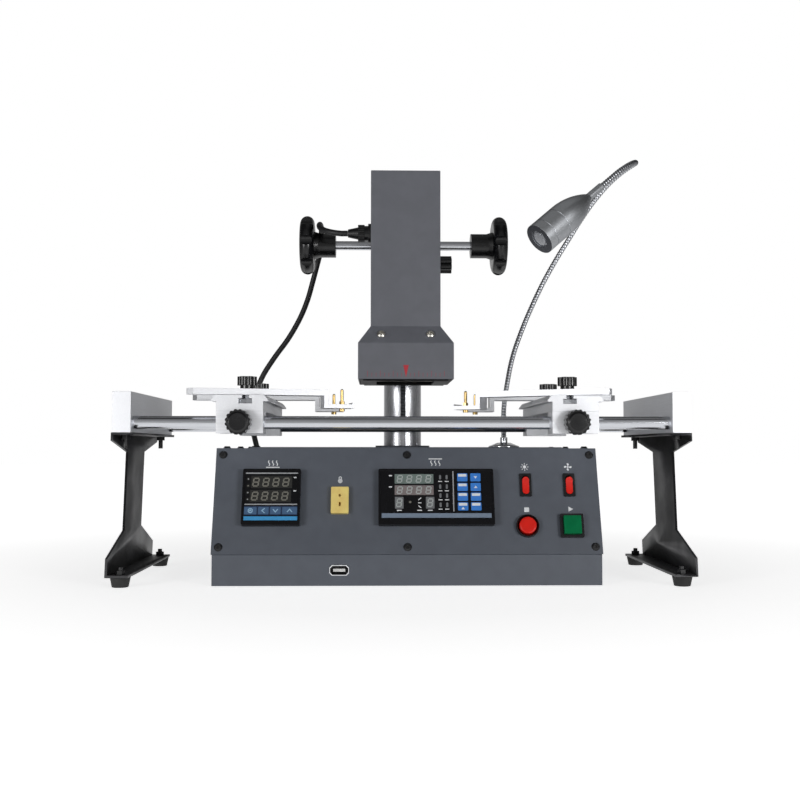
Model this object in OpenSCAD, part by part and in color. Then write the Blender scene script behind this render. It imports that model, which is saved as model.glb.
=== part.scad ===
// Infrared rework station for circuit boards: a base with a preheater and controllers,
// a heater head that lifts on a column, a board jig on two guide rods and a work lamp.
// Origin at the centre of the base's underside, +X to the right, +Y to the back, +Z up, millimetres.

/* [Base housing] */
// Width of the base
base_w = 480; // [450:1:510]
// Depth of the base
base_d = 340; // [330:1:370]
// Height of the base
base_h = 168; // [158:1:178]
// Height of the upright strip under the sloped panel
strip_h = 38; // [32:1:44]
// How far the panel's top edge is set back
panel_setback = 43; // [36:1:50]
// Thickness of the housing's sheet steel
sheet = 2; // [1.5:0.1:2.5]
// Thickness of the front panel
panel_t = 2; // [1.5:0.1:3]
// Overhang of the front panel at each side
panel_lip = 1; // [0.5:0.1:2]
// Head diameter of the housing's black screws
screw_head_d = 10.5; // [8:0.5:12]
// Head height of the housing's black screws
screw_head_h = 3; // [2:0.5:4]

/* [Controllers and switches] */
// Height of both controllers' fronts
meter_h = 72; // [68:1:76]
// Width of the lower heater's controller
lower_meter_w = 72; // [66:1:80]
// Width of the upper heater's controller
upper_meter_w = 144; // [130:1:150]
// How far the controllers stand out of the panel
meter_proud = 9; // [6:0.5:12]
// Depth of the controllers' cases behind the panel
meter_depth = 55; // [40:1:60]
// Left-right place of the lower controller
lower_meter_x = -169; // [-180:1:-160]
// Left-right place of the upper controller
upper_meter_x = 36; // [30:1:44]
// Left-right place of the sensor socket and the data port
socket_x = -84; // [-90:1:-78]
// Left-right place of the light switch and the stop button
left_switch_x = 149; // [144:1:154]
// Left-right place of the fan switch and the start button
right_switch_x = 204; // [198:1:210]
// Travel of the push buttons
button_travel = 4; // [3:0.5:4]
// Tilt of the rocker switches to each side
rocker_tilt = 8; // [5:1:9]

/* [Preheater] */
// Length of a ceramic tile
tile_l = 240; // [220:1:260]
// Width of a ceramic tile
tile_w = 50; // [44:1:52]
// Number of ceramic tiles
tile_n = 3; // [2:1:3]
// Thickness of a ceramic tile
tile_t = 12; // [10:0.5:13]
// Depth of the preheater's tray
tray_h = 26; // [24:1:30]
// Width of the raised top plate
top_plate_w = 400; // [380:1:420]
// Thickness of the raised top plate
top_plate_t = 2; // [1.5:0.1:3]

/* [Column and lift] */
// Diameter of the column
col_d = 55; // [50:1:58]
// Length of the column above the top plate
col_l = 386; // [370:1:395]
// Tooth module of the rack and pinion
gear_module = 1.4; // [1.2:0.1:1.5]
// Number of teeth on the pinion
pinion_teeth = 18; // [17:1:20]
// Width of the rack
rack_w = 7; // [6:0.5:9]
// Diameter of the pinion's shaft
shaft_d = 13; // [11:0.5:14]
// Width of the lift block
block_w = 80; // [76:1:88]
// Height of the lift block
block_h = 115; // [105:1:120]
// Diameter of the star handwheels
wheel_d = 84; // [76:1:90]
// Thickness of a handwheel's rim
wheel_t = 20; // [16:1:22]
// Distance of a handwheel's rim from the middle
wheel_x = 129; // [124:1:134]

/* [Heater head] */
// Distance of the head's middle behind the base's front
head_set = 140; // [136:1:146]
// Width and depth of the head's skirt
skirt_w = 126; // [120:1:132]
// Height of the skirt's lower edge above the base's top
head_rise = 91; // [89:1:98]
// Height of the skirt
skirt_h = 48; // [42:1:52]
// Height of the sloped shoulder above the skirt
hip_h = 23.5; // [20:0.5:28]
// Width of the head's box
box_w = 93; // [88:1:98]
// Height of the head's box
box_h = 209.5; // [200:0.5:212]
// Size of the ceramic heater's face
heater_w = 81; // [76:1:84]
// Height of the black rim below the skirt
rim_drop = 1.5; // [1:0.5:3]
// Size of the fan in the head's top
fan_w = 60; // [54:1:64]

/* [Board jig] */
// Left-right place of the guide rods' middle
jig_x = -6; // [-8:1:8]
// Clear distance between the end blocks
jig_span = 661; // [640:1:680]
// Width of an end block
end_w = 22.5; // [20:0.5:26]
// Height of an end block
end_h = 50; // [46:1:54]
// Length of an end block
end_l = 258; // [254:1:264]
// Height of the end blocks' undersides above the base's top
jig_rise = 19.5; // [17:0.5:24]
// Splay of the legs
leg_splay = 1.9; // [1:0.1:3]
// Thickness of the legs' sheet steel
leg_t = 3; // [2.5:0.1:3.5]
// Height of the rubber feet
foot_h = 12; // [10:1:14]
// Diameter of the guide rods
rod_d = 16; // [14:0.5:18]
// Distance between the guide rods
rod_pitch = 224; // [220:1:228]
// Distance of the jig's middle behind the base's front
jig_set = 112; // [108:1:116]

/* [Carriages and arms] */
// Distance of a carriage from the middle
carriage_x = 205; // [200:1:210]
// Width of a carriage
carriage_w = 57; // [54:1:62]
// Depth of a carriage's rod blocks
block_l = 36; // [34:1:38]
// Height of a carriage's rod blocks
rod_block_h = 27; // [25:1:30]
// Height of the beam on the rod blocks
beam_h = 12; // [11:0.5:14]
// Height of the tapered rail on the beam
rail_h = 8; // [7:0.5:9]
// Width of the rail's lower edge
rail_w = 69; // [66:1:72]
// Width of the slot along the rail
slot_w = 8.6; // [8.4:0.1:9.2]
// Diameter of the clamping studs in the slot
stud_d = 8; // [7:0.1:8]
// Width of an arm
arm_w = 25; // [22:1:28]
// Thickness of an arm
arm_t = 7.5; // [6.5:0.5:9]
// Length of an arm from end to end
arm_l = 205; // [195:1:210]
// Length of the left front arm outside its stud
front_arm_out = 73; // [68:1:78]
// Length of a rear arm outside its stud
rear_arm_out = 91; // [86:1:94]
// Turn of the left front arm, inner end to the back
front_arm_yaw = 13; // [10:1:15]
// Length of the right front arm outside its stud
right_arm_out = 55; // [50:1:60]
// Turn of the right front arm, inner end to the back
right_arm_yaw = 28; // [20:1:28]
// Drop from an arm's top to its ledge
ledge_drop = 18; // [16:0.5:19]
// Diameter of the brass board pins
pin_d = 4; // [3.5:0.5:5]
// Diameter of the thumb knobs
thumb_d = 24; // [22:1:26]
// Diameter of the carriages' clamp knobs
clamp_d = 31; // [28:1:34]

/* [Lamp] */
// Left-right place of the lamp's foot
lamp_x = 152; // [148:1:158]
// Diameter of the lamp's foot
lamp_foot_d = 46; // [40:1:48]
// Diameter of the gooseneck
goose_d = 8; // [7:0.5:9]
// Diameter of the lamp's body
lamp_d = 44; // [40:1:46]
// Length of the lamp's body
lamp_l = 102; // [98:1:108]

/* [Hidden] */
$fn = 64;

// Overshoot of a cut past the face it opens
cut = 1;
// Radial clearance of running fits
run_fit = 0.05;
// Clearance of loose fits and between sliding pieces
loose = 0.3;
// Clearance of a stub or case in its sheet-metal hole
hole_fit = 0.3;

// Base housing
front_y = -base_d / 2;
rear_y = base_d / 2;
lean = atan2(panel_setback, base_h - strip_h);
slope_l = norm([panel_setback, base_h - strip_h]);
top_y = front_y + panel_setback;
top_z = base_h + top_plate_t;
panel_margin = 9;
panel_screw_x = base_w / 2 - 8;
cover_screw_x = base_w / 2 - 9;
cover_screw_front = 22;
cover_screw_rear = 18;
vent_n = 9;
vent_w = 4;
vent_l = 44;
vent_pitch = 13;

// Places up the panel's slope
meter_v = slope_l / 2 + 2.5;
rocker_v = meter_v + 17;
button_v = meter_v - 36;
socket_v = meter_v - 3.5;

// Controllers
meter_step = 2.5;
meter_frame = 2.5;
lower_lip = 5.5;
upper_lip = 8.6;
meter_recess = 1.2;
meter_round = 2;

// Switches and buttons
rocker_bezel = [14.6, 30];
rocker_wall = 2.6;
rocker_hole = [rocker_bezel[0] - rocker_wall, rocker_bezel[1] - rocker_wall];
rocker_bore = [rocker_hole[0] - 3, rocker_hole[1] - rocker_wall];
rocker_collar = 2;
rocker_pivot_z = -3;
rocker_pin_d = 2.4;
rocker_depth = 14;
button_d = 21.4;
button_bezel_d = 29;
button_barrel_d = 26;
button_collar = 5;
button_dish = 1;
button_floor_z = -20;
button_floor_t = 2;
button_stem_d = 6;
button_piston_z = -6;
button_cap_h = 7.5;
start_bezel = [29, 30];
start_cap = [21.5, 23];

// Sensor socket and data port
socket_size = [22, 34];
socket_proud = 6;
socket_depth = 16;
socket_step = 2;
socket_slots = [[5.9, 3.4], [-5.3, 5.2]];
socket_slot_w = 2.4;
socket_slot_depth = 8;
port_size = [24, 12.6];
port_wall = 0.8;
port_corner = 3;
port_z = strip_h / 2;
port_depth = 16;

// Power inlet on the rear wall
inlet_x = 150;
inlet_z = 60;
inlet_size = [27, 20];
inlet_flange = [50, 24];
inlet_flange_t = 3;
inlet_depth = 22;
inlet_hollow = [22, 15];
inlet_mouth = 6;

// Heater head
head_y = front_y + head_set;
head_back = head_y + skirt_w / 2;
skirt_front = head_y - skirt_w / 2;
box_front = skirt_front + (skirt_w - box_w) / 2;
box_d = head_back - box_front;
skirt_z = base_h + head_rise;
hip_z = skirt_z + skirt_h;
box_z = hip_z + hip_h;
head_top = box_z + box_h;
fan_y = (box_front + head_back) / 2;
fan_d = fan_w - 4;
fan_t = 15;
fan_hub_d = 24;
fan_blades = 7;
fan_z = head_top - sheet - fan_t;
fan_screw = fan_w / 2 - 5;
guard_wire = 2;
rim_inside = skirt_w - 2 * sheet - 2 * loose;
rim_outside = rim_inside - 9;
rim_lip_h = 4.5;
rim_up = 9;
head_screw_in = 14;
head_screw_x = box_w / 2 - head_screw_in;
heater_t = 13;
heater_dish = 4;
socket_hole_d = 18;
head_socket_set = 150;
head_socket_up = 135.5;
head_socket_y = front_y + head_socket_set;
head_socket_z = box_z + head_socket_up;

// Preheater
well_gap = 3;
tile_gap = 2;
well_w = tile_l + 2 * well_gap;
well_d = tile_n * tile_w + (tile_n - 1) * tile_gap + 2 * well_gap;
tray_wall = 1.5;
tray_lip = 7;
tile_seat = tray_h - tray_wall - tile_t - 6;
top_plate_front = top_y + 8;
top_plate_rear = rear_y - 16;

// Guide rods of the board jig
jig_y = front_y + jig_set;
leg_h = base_h + jig_rise;
rod_up = 12.5;
rod_z = leg_h + rod_up;

// Column, rack and pinion
pitch_r = gear_module * pinion_teeth / 2;
tooth_pitch = PI * gear_module;
addendum = gear_module;
dedendum = 1.25 * gear_module;
pressure = 20;
backlash = 0.16;
block_front_wall = 4;
pinion_room = 1;
pinion_w = 9;
pinion_y = head_back + block_front_wall + pinion_room + pitch_r + addendum;
pinion_up = 132.5;
pinion_z = box_z + pinion_up;
rack_y = pinion_y + pitch_r;
rack_proud = 2.5;
rack_back = 5;
col_y = rack_y + rack_proud + col_d / 2;
col_wall = 6;
col_cap = 5;
col_top = top_z + col_l;
rack_bottom = rod_z + rod_d / 2 + 6;
rack_below = floor((pinion_z - rack_bottom) / tooth_pitch);
rack_above = floor((col_top - 8 - pinion_z) / tooth_pitch);
flange_d = 80;
flange_h = 2.5;
flange_bolt_r = 33.5;
flange_bolt_d = 6.5;
block_rear_wall = 12;
block_z = pinion_z - block_h / 2;
hub_d = 35;
hub_x = wheel_x - 31;
hub_flare = [8, 40];
wheel_scallops = 8;
wheel_scallop_r = 8;
wheel_scallop_x = wheel_d / 2 + wheel_scallop_r - 4.4;
lock_z = pinion_z - 20;
lock_d = 26;
lock_t = 17;
lock_x = block_w / 2 + 16;
lock_stud_d = 6;

// End blocks and legs of the board jig
end_in = jig_span / 2;
end_out = end_in + end_w;
rod_sink = 16;
leg_out = end_out + 1;
flange_w = 27;
leg_bolt_in = end_w / 2;
leg_bolt_y = end_l / 2 - 23;
foot_y = end_l / 2 - 12;
bolt_d = 6;
nut_af = 10;
nut_h = 5;
bolt_tail = 11.5;
foot_bolt_tail = 4;
foot_d = 25;

// Carriages, counted along the jig from its middle
beam_z = rod_z + rod_block_h / 2;
rail_z = beam_z + beam_h;
rail_top = rail_z + rail_h;
rail_top_w = rail_w - 10;
rail_edge = 2;
slot_neck = 4.5;
slot_room_h = 6;
slot_room_w = 16.6;
arm_z = rail_top + loose;
arm_top = arm_z + arm_t;
thumb_z = arm_top + loose;
front_stud_y = -rod_pitch / 2;
rear_stud_y = rod_pitch / 2 - 79;
stud_x = carriage_x - 7;
nut_l = 16;
nut_foot_h = slot_room_h - 2 * loose;
stud_top = thumb_z + 9;
riser_t = 6;
ledge_l = 32;
ledge_t = 5;
ledge_lip = 2;
arm_chamfer = 7;
pin_back = 13;
pin_up = 19.5;
pin_nut_d = 7;
pin_nut_h = 4;
pin_head_h = 3.4;
thumb_neck_d = 17;
thumb_neck_h = 4;
thumb_h = 15;
thumb_lobes = 6;
clamp_t = 15;
clamp_gap = 2;
clamp_stud_d = 8;
clamp_scallops = 16;

// Lamp
lamp_set = 275;
lamp_y = front_y + lamp_set;
lamp_foot_h = 7;
lamp_foot_edge = 2;
ferrule_d = 11;
ferrule_h = 8;
neck_z = top_z + lamp_foot_h + ferrule_h;
// Gooseneck route from its foot, chosen by eye
goose_route = [
    [0, 0, 0.3], [0, 0, 20], [0.5, 0, 45], [5.5, 0, 81], [13.4, 0, 119], [25.5, -1, 155],
    [40.3, -3, 191], [58, -7, 229], [77.5, -15, 265], [95.5, -24, 295], [112.5, -33, 323],
    [130.5, -42.5, 349], [149.5, -53, 371], [166, -65, 385], [176.5, -78, 391], [179.5, -90, 391.8],
    [176.3, -102, 389.5], [168.2, -112, 384.7], [158.2, -120.6, 377.8], [146.6, -128, 369],
    [133.3, -133.7, 357.3], [120, -139.4, 345.5]
];
lamp_tail = [100.1, -147.8, 327.9];
lamp_aim = [-0.713, -0.303, -0.632];
lamp_grooves = [0.62, 0.86];
lamp_groove = 0.8;
lamp_lens_d = lamp_d * 0.58;
lamp_lens_sink = 3;
lamp_ferrule_l = norm(lamp_tail - goose_route[len(goose_route) - 1]) - loose;

// Cable route from the head's connector to the grommet, chosen by eye, heights over the base's top
cable_d = 8;
plug_l = 32;
plug_x = -box_w / 2 - plug_l - loose;
plug_z = head_socket_z - base_h;
cable_route = [
    [plug_x, head_socket_y, plug_z], [plug_x - 4.7, head_socket_y, plug_z],
    [plug_x - 9.7, head_socket_y, plug_z],
    [-100.6, -17.6, 300], [-110.8, -10.8, 304], [-117.6, -0.5, 309.5], [-120, 11.5, 315], [-120.3, 26, 320],
    [-120.3, 43, 323.5], [-120, 61, 323.5], [-120.5, 80, 318.5], [-121.5, 97, 308.5], [-124, 110, 294.5],
    [-128.5, 117, 279], [-136, 120, 251], [-143.6, 120, 224], [-155, 120, 196], [-172, 120, 166],
    [-192, 119, 138], [-209.5, 118, 110], [-219.5, 117.5, 84], [-225.5, 117, 58], [-225.5, 117, 35],
    [-222, 117, 18], [-219, 117, 6]
];
gland_h = 4;
gland_d = 14;

// Outlines and placing

// Extrudes an outline drawn in Y and Z along X, about the middle
module along_x(w) {
    rotate([90, 0, 90])
        linear_extrude(w, center = true)
            children();
}

// Puts a piece on the sloped panel's seat, x to the right, y up the slope, z outwards
module on_panel(x = 0, v = 0) {
    translate([0, front_y, strip_h])
        rotate([90 - lean, 0, 0])
            translate([x, v, 0])
                children();
}

// Lays a piece's z axis along X, towards the right for side 1 and the left for side -1
module along_side(side) {
    rotate([0, 90 * side, 0])
        children();
}

module centred(w, d, h) {
    translate([-w / 2, -d / 2, 0])
        cube([w, d, h]);
}

module rounded_rect(w, h, r) {
    union() {
        square([w - 2 * r, h], center = true);
        square([w, h - 2 * r], center = true);
        for (x = [-1, 1], y = [-1, 1])
            translate([x * (w / 2 - r), y * (h / 2 - r)])
                circle(r, $fn = 24);
    }
}

// Round grip with lobes, or with scallops cut into its edge
module lobed(d, n, lobe_r) {
    union() {
        circle(d / 2 - lobe_r * 0.7);
        for (k = [0 : n - 1])
            rotate(360 * k / n)
                translate([d / 2 - lobe_r, 0])
                    circle(lobe_r, $fn = 24);
    }
}

module scalloped(d, n, cut_r) {
    difference() {
        circle(d / 2);
        for (k = [0 : n - 1])
            rotate(360 * k / n)
                translate([d / 2 + cut_r * 0.45, 0])
                    circle(cut_r, $fn = 16);
    }
}

// Slim outline with round ends
module stadium(w, h) {
    rounded_rect(w, h, w / 2 - 0.1);
}

module button_screw(d, h) {
    difference() {
        cylinder(h = h, d1 = d, d2 = d * 0.62, $fn = 32);
        translate([0, 0, h * 0.45])
            cylinder(h = h, d = d * 0.38, $fn = 6);
    }
}

// Sweeping a round tube along a route
function unit(v) = v / norm(v);
function route_at(p, i) = p[min(max(i, 0), len(p) - 1)];
function curve(p, i, t) =
    let (a = route_at(p, i - 1), b = p[i], c = route_at(p, i + 1), d = route_at(p, i + 2))
    (2 * b + (c - a) * t + (2 * a - 5 * b + 4 * c - d) * t * t
        + (3 * b - a - 3 * c + d) * t * t * t) / 2;
function smooth_route(p, n) = concat(
    [for (i = [0 : len(p) - 2], k = [0 : n - 1]) curve(p, i, k / n)], [p[len(p) - 1]]);
function headings(p) = [for (i = [0 : len(p) - 1]) unit(route_at(p, i + 1) - route_at(p, i - 1))];
function carried(t, i, sides) = i == len(t) ? sides : carried(t, i + 1, concat(sides,
    [i == 0 ? unit(cross(t[0], [0.3, 1, 0.2]))
        : unit(sides[i - 1] - (sides[i - 1] * t[i]) * t[i])]));

module tube(route, d, steps = 2, n = 10) {
    p = smooth_route(route, steps);
    t = headings(p);
    s = carried(t, 0, []);
    last = len(p) - 1;
    points = [for (i = [0 : last], k = [0 : n - 1])
        p[i] + d / 2 * (cos(360 * k / n) * s[i] + sin(360 * k / n) * cross(t[i], s[i]))];
    walls = [for (i = [0 : last - 1], k = [0 : n - 1], half = [0, 1])
        let (a = i * n + k, b = i * n + (k + 1) % n)
        half == 0 ? [a, a + n, b + n] : [a, b + n, b]];
    ends = [[for (k = [0 : n - 1]) k], [for (k = [n - 1 : -1 : 0]) last * n + k]];
    polyhedron(points, concat(walls, ends));
}

// Base housing

module base_tray() {
    color([0.33, 0.35, 0.38])
        difference() {
            union() {
                centred(base_w, base_d, sheet);
                translate([-base_w / 2, front_y, 0])
                    cube([base_w, sheet, strip_h]);
                translate([-base_w / 2, rear_y - sheet, 0])
                    cube([base_w, sheet, base_h]);
            }
            translate([socket_x, front_y - cut, port_z])
                rotate([-90, 0, 0])
                    linear_extrude(sheet + 2 * cut)
                        port_outline(2 * hole_fit);
            translate([inlet_x, rear_y - sheet - cut, inlet_z])
                rotate([-90, 0, 0])
                    linear_extrude(sheet + 2 * cut)
                        square(inlet_size + 2 * hole_fit * [1, 1], center = true);
            for (k = [0 : vent_n - 1])
                translate([-base_w / 4 + (k - (vent_n - 1) / 2) * vent_pitch, rear_y, base_h / 2])
                    cube([vent_w, 4 * sheet, vent_l], center = true);
        }
}

module cover_side() {
    seat_z = strip_h + sheet * (base_h - strip_h) / panel_setback;
    polygon([
        [front_y + sheet, sheet], [rear_y - sheet, sheet], [rear_y - sheet, base_h],
        [top_y, base_h], [front_y + sheet, seat_z]
    ]);
}

module base_cover() {
    color([0.34, 0.36, 0.39])
        difference() {
            union() {
                for (side = [-1, 1])
                    translate([side * (base_w - sheet) / 2, 0, 0])
                        along_x(sheet)
                            cover_side();
                translate([-base_w / 2, top_y, base_h - sheet])
                    cube([base_w, rear_y - sheet - top_y, sheet]);
            }
            translate([0, head_y, base_h - sheet - cut])
                centred(well_w, well_d, sheet + 2 * cut);
            for (k = [0 : vent_n - 1])
                translate([0, rear_y - 55 - k * vent_pitch, base_h / 2])
                    cube([base_w + 2 * cut, vent_w, vent_l], center = true);
        }
}

module front_panel() {
    color([0.34, 0.36, 0.39])
        on_panel()
            difference() {
                translate([-base_w / 2 - panel_lip, 0, 0])
                    cube([base_w + 2 * panel_lip, slope_l, panel_t]);
                meter_hole(lower_meter_x, lower_meter_w);
                meter_hole(upper_meter_x, upper_meter_w);
                translate([socket_x, socket_v, -cut])
                    centred(socket_size[0] - 2 * socket_step + 2 * hole_fit,
                        socket_size[1] - 2 * socket_step + 2 * hole_fit, panel_t + 2 * cut);
                for (x = [left_switch_x, right_switch_x]) {
                    translate([x, rocker_v, -cut])
                        centred(rocker_hole[0] + 2 * hole_fit, rocker_hole[1] + 2 * hole_fit,
                            panel_t + 2 * cut);
                    translate([x, button_v, -cut])
                        cylinder(h = panel_t + 2 * cut, d = button_barrel_d + 2 * hole_fit);
                }
            }
}

module meter_hole(x, w) {
    translate([x, meter_v, -cut])
        centred(w - 2 * meter_step + 2 * hole_fit, meter_h - 2 * meter_step + 2 * hole_fit,
            panel_t + 2 * cut);
}

module case_screws() {
    color([0.06, 0.06, 0.07]) {
        for (x = [-panel_screw_x, 0, panel_screw_x], v = [panel_margin, slope_l - panel_margin])
            on_panel(x, v)
                translate([0, 0, panel_t])
                    button_screw(screw_head_d, screw_head_h);
        for (side = [-1, 1], y = [top_y + cover_screw_front, head_y + 60, rear_y - cover_screw_rear])
            translate([side * cover_screw_x, y, base_h])
                button_screw(screw_head_d, screw_head_h);
    }
}

module top_plate() {
    color([0.40, 0.42, 0.45])
        difference() {
            translate([-top_plate_w / 2, top_plate_front, base_h])
                cube([top_plate_w, top_plate_rear - top_plate_front, top_plate_t]);
            translate([0, head_y, base_h - cut])
                centred(well_w, well_d, top_plate_t + 2 * cut);
        }
}

// Preheater

module preheater_tray() {
    outer_w = well_w + 2 * tray_wall;
    outer_d = well_d + 2 * tray_wall;
    color([0.62, 0.63, 0.65])
        translate([0, head_y, base_h - sheet - tray_h]) {
            difference() {
                union() {
                    centred(outer_w, outer_d, tray_h);
                    translate([0, 0, tray_h - tray_wall])
                        centred(outer_w + 2 * tray_lip, outer_d + 2 * tray_lip, tray_wall);
                }
                translate([0, 0, tray_wall])
                    centred(well_w, well_d, tray_h);
            }
            for (side = [-1, 1])
                translate([side * tile_l * 0.32, 0, tray_wall])
                    centred(12, well_d - 2 * well_gap, tile_seat);
        }
}

module tile_outline() {
    dish = tile_w * 1.4;
    difference() {
        square([tile_w, tile_t]);
        translate([tile_w / 2, tile_t + dish - 3])
            circle(dish, $fn = 128);
    }
}

module preheater_tiles() {
    color([0.86, 0.84, 0.80])
        translate([0, head_y, base_h - sheet - tray_h + tray_wall + tile_seat])
            for (k = [0 : tile_n - 1])
                translate([0, (k - tile_n / 2) * (tile_w + tile_gap) + tile_gap / 2, 0])
                    along_x(tile_l)
                        tile_outline();
}

// Controllers

// Controller with a recessed face, its lower lip deeper than the rest of the frame
module meter(w, lip) {
    difference() {
        union() {
            translate([0, 0, panel_t])
                linear_extrude(meter_proud)
                    rounded_rect(w, meter_h, meter_round);
            translate([0, 0, panel_t - meter_depth])
                centred(w - 2 * meter_step, meter_h - 2 * meter_step, meter_depth);
        }
        translate([-w / 2 + meter_frame, -meter_h / 2 + lip, panel_t + meter_proud - meter_recess])
            cube([w - 2 * meter_frame, meter_h - meter_frame - lip, meter_recess + cut]);
    }
}

module lower_controller() {
    color([0.07, 0.07, 0.08])
        on_panel(lower_meter_x, meter_v)
            meter(lower_meter_w, lower_lip);
}

module upper_controller() {
    color([0.07, 0.07, 0.08])
        on_panel(upper_meter_x, meter_v)
            meter(upper_meter_w, upper_lip);
}

// Sensor socket with its two flat contact slots, one longer than the other
module sensor_socket() {
    color([0.93, 0.76, 0.12])
        on_panel(socket_x, socket_v)
            difference() {
                union() {
                    translate([0, 0, panel_t])
                        linear_extrude(socket_proud)
                            rounded_rect(socket_size[0], socket_size[1], 1.5);
                    translate([0, 0, panel_t - socket_depth])
                        centred(socket_size[0] - 2 * socket_step,
                            socket_size[1] - 2 * socket_step, socket_depth);
                }
                for (slot = socket_slots)
                    translate([0, slot[0], panel_t + socket_proud - socket_slot_depth])
                        centred(socket_slot_w, slot[1], socket_slot_depth + cut);
            }
}

module port_outline(grow = 0) {
    w = port_size[0] + grow;
    h = port_size[1] + grow;
    c = port_corner;
    polygon([
        [-w / 2 + c, -h / 2], [w / 2 - c, -h / 2], [w / 2, -h / 2 + c], [w / 2, h / 2 - c],
        [w / 2 - c, h / 2], [-w / 2 + c, h / 2], [-w / 2, h / 2 - c], [-w / 2, -h / 2 + c]
    ]);
}

module usb_port() {
    color([0.78, 0.79, 0.80])
        translate([socket_x, front_y - 0.5, port_z])
            rotate([-90, 0, 0]) {
                difference() {
                    linear_extrude(port_depth)
                        port_outline();
                    translate([0, 0, -cut])
                        linear_extrude(port_depth - port_wall + cut)
                            port_outline(-2 * port_wall);
                }
                translate([0, 0, port_depth / 2 + 1])
                    cube([port_size[0] * 0.62, port_size[1] * 0.28, port_depth - 2], center = true);
            }
}

// Bezels and barrels of the two rocker switches and the two push buttons
module rocker_bezel_piece() {
    difference() {
        union() {
            translate([0, 0, panel_t])
                linear_extrude(rocker_collar)
                    rounded_rect(rocker_bezel[0], rocker_bezel[1], 1.5);
            translate([0, 0, panel_t - rocker_depth])
                centred(rocker_hole[0], rocker_hole[1], rocker_depth);
        }
        translate([0, 0, panel_t - rocker_depth + 2])
            linear_extrude(rocker_depth + rocker_collar)
                stadium(rocker_bore[0], rocker_bore[1]);
        translate([0, 0, rocker_pivot_z])
            rotate([0, 90, 0])
                cylinder(h = rocker_bezel[0] * 2, d = rocker_pin_d + 2 * run_fit, center = true);
    }
}

module button_barrel() {
    difference() {
        translate([0, 0, button_floor_z - button_floor_t])
            cylinder(h = panel_t - button_floor_z + button_floor_t, d = button_barrel_d);
        translate([0, 0, button_floor_z])
            cylinder(h = panel_t - button_floor_z + cut, d = button_d + 2 * loose);
        translate([0, 0, button_floor_z - button_floor_t - cut])
            cylinder(h = button_floor_t + 2 * cut, d = button_stem_d + 2 * run_fit);
    }
}

module stop_bezel() {
    button_barrel();
    translate([0, 0, panel_t])
        difference() {
            cylinder(h = button_collar, d1 = button_bezel_d, d2 = button_bezel_d - 0.8);
            translate([0, 0, -cut])
                cylinder(h = button_collar + 2 * cut, d = button_d + 2 * loose);
            translate([0, 0, button_dish])
                cylinder(h = button_collar - button_dish + cut, d1 = button_d + 2 * loose,
                    d2 = button_bezel_d - button_dish);
        }
}

module start_bezel_piece() {
    button_barrel();
    translate([0, 0, panel_t])
        difference() {
            linear_extrude(button_collar)
                rounded_rect(start_bezel[0], start_bezel[1], 2);
            translate([0, 0, -cut])
                centred(start_cap[0] + 2 * loose, start_cap[1] + 2 * loose, button_collar + 2 * cut);
        }
}

module control_bezels() {
    color([0.06, 0.06, 0.06]) {
        for (x = [left_switch_x, right_switch_x])
            on_panel(x, rocker_v)
                rocker_bezel_piece();
        on_panel(left_switch_x, button_v)
            stop_bezel();
        on_panel(right_switch_x, button_v)
            start_bezel_piece();
    }
}

// Rocker with round ends and stub pins, tilted to its off side
module rocker() {
    half = rocker_bore[1] / 2 - 1.6;
    wide = rocker_bore[0] - 2 * loose;
    crown = panel_t + rocker_collar - rocker_pivot_z;
    translate([0, 0, rocker_pivot_z])
        rotate([rocker_tilt, 0, 0])
            union() {
                intersection() {
                    along_x(wide)
                        polygon([
                            [-half, crown + 2.2], [0, crown + 0.8], [half, crown + 2.2],
                            [half - 0.6, 1], [3, -3], [-3, -3], [-half + 0.6, 1]
                        ]);
                    translate([0, 0, -rocker_depth])
                        linear_extrude(2 * rocker_depth)
                            stadium(wide, 2 * half);
                }
                rotate([0, 90, 0])
                    cylinder(h = rocker_hole[0], d = rocker_pin_d, center = true);
            }
}

module light_rocker() {
    color([0.75, 0.07, 0.06])
        on_panel(left_switch_x, rocker_v)
            rocker();
}

module fan_rocker() {
    color([0.75, 0.07, 0.06])
        on_panel(right_switch_x, rocker_v)
            rocker();
}

module button_piston() {
    translate([0, 0, button_piston_z])
        cylinder(h = panel_t - button_piston_z, d = button_d);
    translate([0, 0, button_floor_z - button_floor_t])
        cylinder(h = -button_floor_z + button_floor_t + button_piston_z, d = button_stem_d);
}

module stop_button() {
    color([0.78, 0.06, 0.08])
        on_panel(left_switch_x, button_v) {
            button_piston();
            translate([0, 0, panel_t])
                cylinder(h = button_cap_h - 1, d = button_d);
            translate([0, 0, panel_t + button_cap_h - 1])
                cylinder(h = 1, d1 = button_d, d2 = button_d - 3);
        }
}

module start_button() {
    cap_z = panel_t + button_travel + 2 * loose;
    color([0.05, 0.55, 0.20])
        on_panel(right_switch_x, button_v) {
            button_piston();
            translate([0, 0, panel_t])
                cylinder(h = cap_z - panel_t, d = button_d - 6);
            translate([0, 0, cap_z])
                linear_extrude(button_cap_h - 2)
                    rounded_rect(start_cap[0], start_cap[1], 1);
        }
}

// Mains inlet with three pins in its hollow
module power_inlet() {
    color([0.08, 0.08, 0.08])
        translate([inlet_x, rear_y, inlet_z])
            rotate([90, 0, 0]) {
                difference() {
                    union() {
                        translate([0, 0, -inlet_flange_t])
                            linear_extrude(inlet_flange_t)
                                rounded_rect(inlet_flange[0], inlet_flange[1], 4);
                        linear_extrude(inlet_depth)
                            square(inlet_size, center = true);
                    }
                    translate([0, 0, -inlet_flange_t - cut])
                        linear_extrude(inlet_depth + cut)
                            square(inlet_hollow, center = true);
                }
                for (pin = [[-7, -2], [0, 2], [7, -2]])
                    translate([pin[0], pin[1], inlet_mouth])
                        centred(2, 4, inlet_depth - inlet_mouth - 1);
            }
}

// Column with its rack

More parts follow.
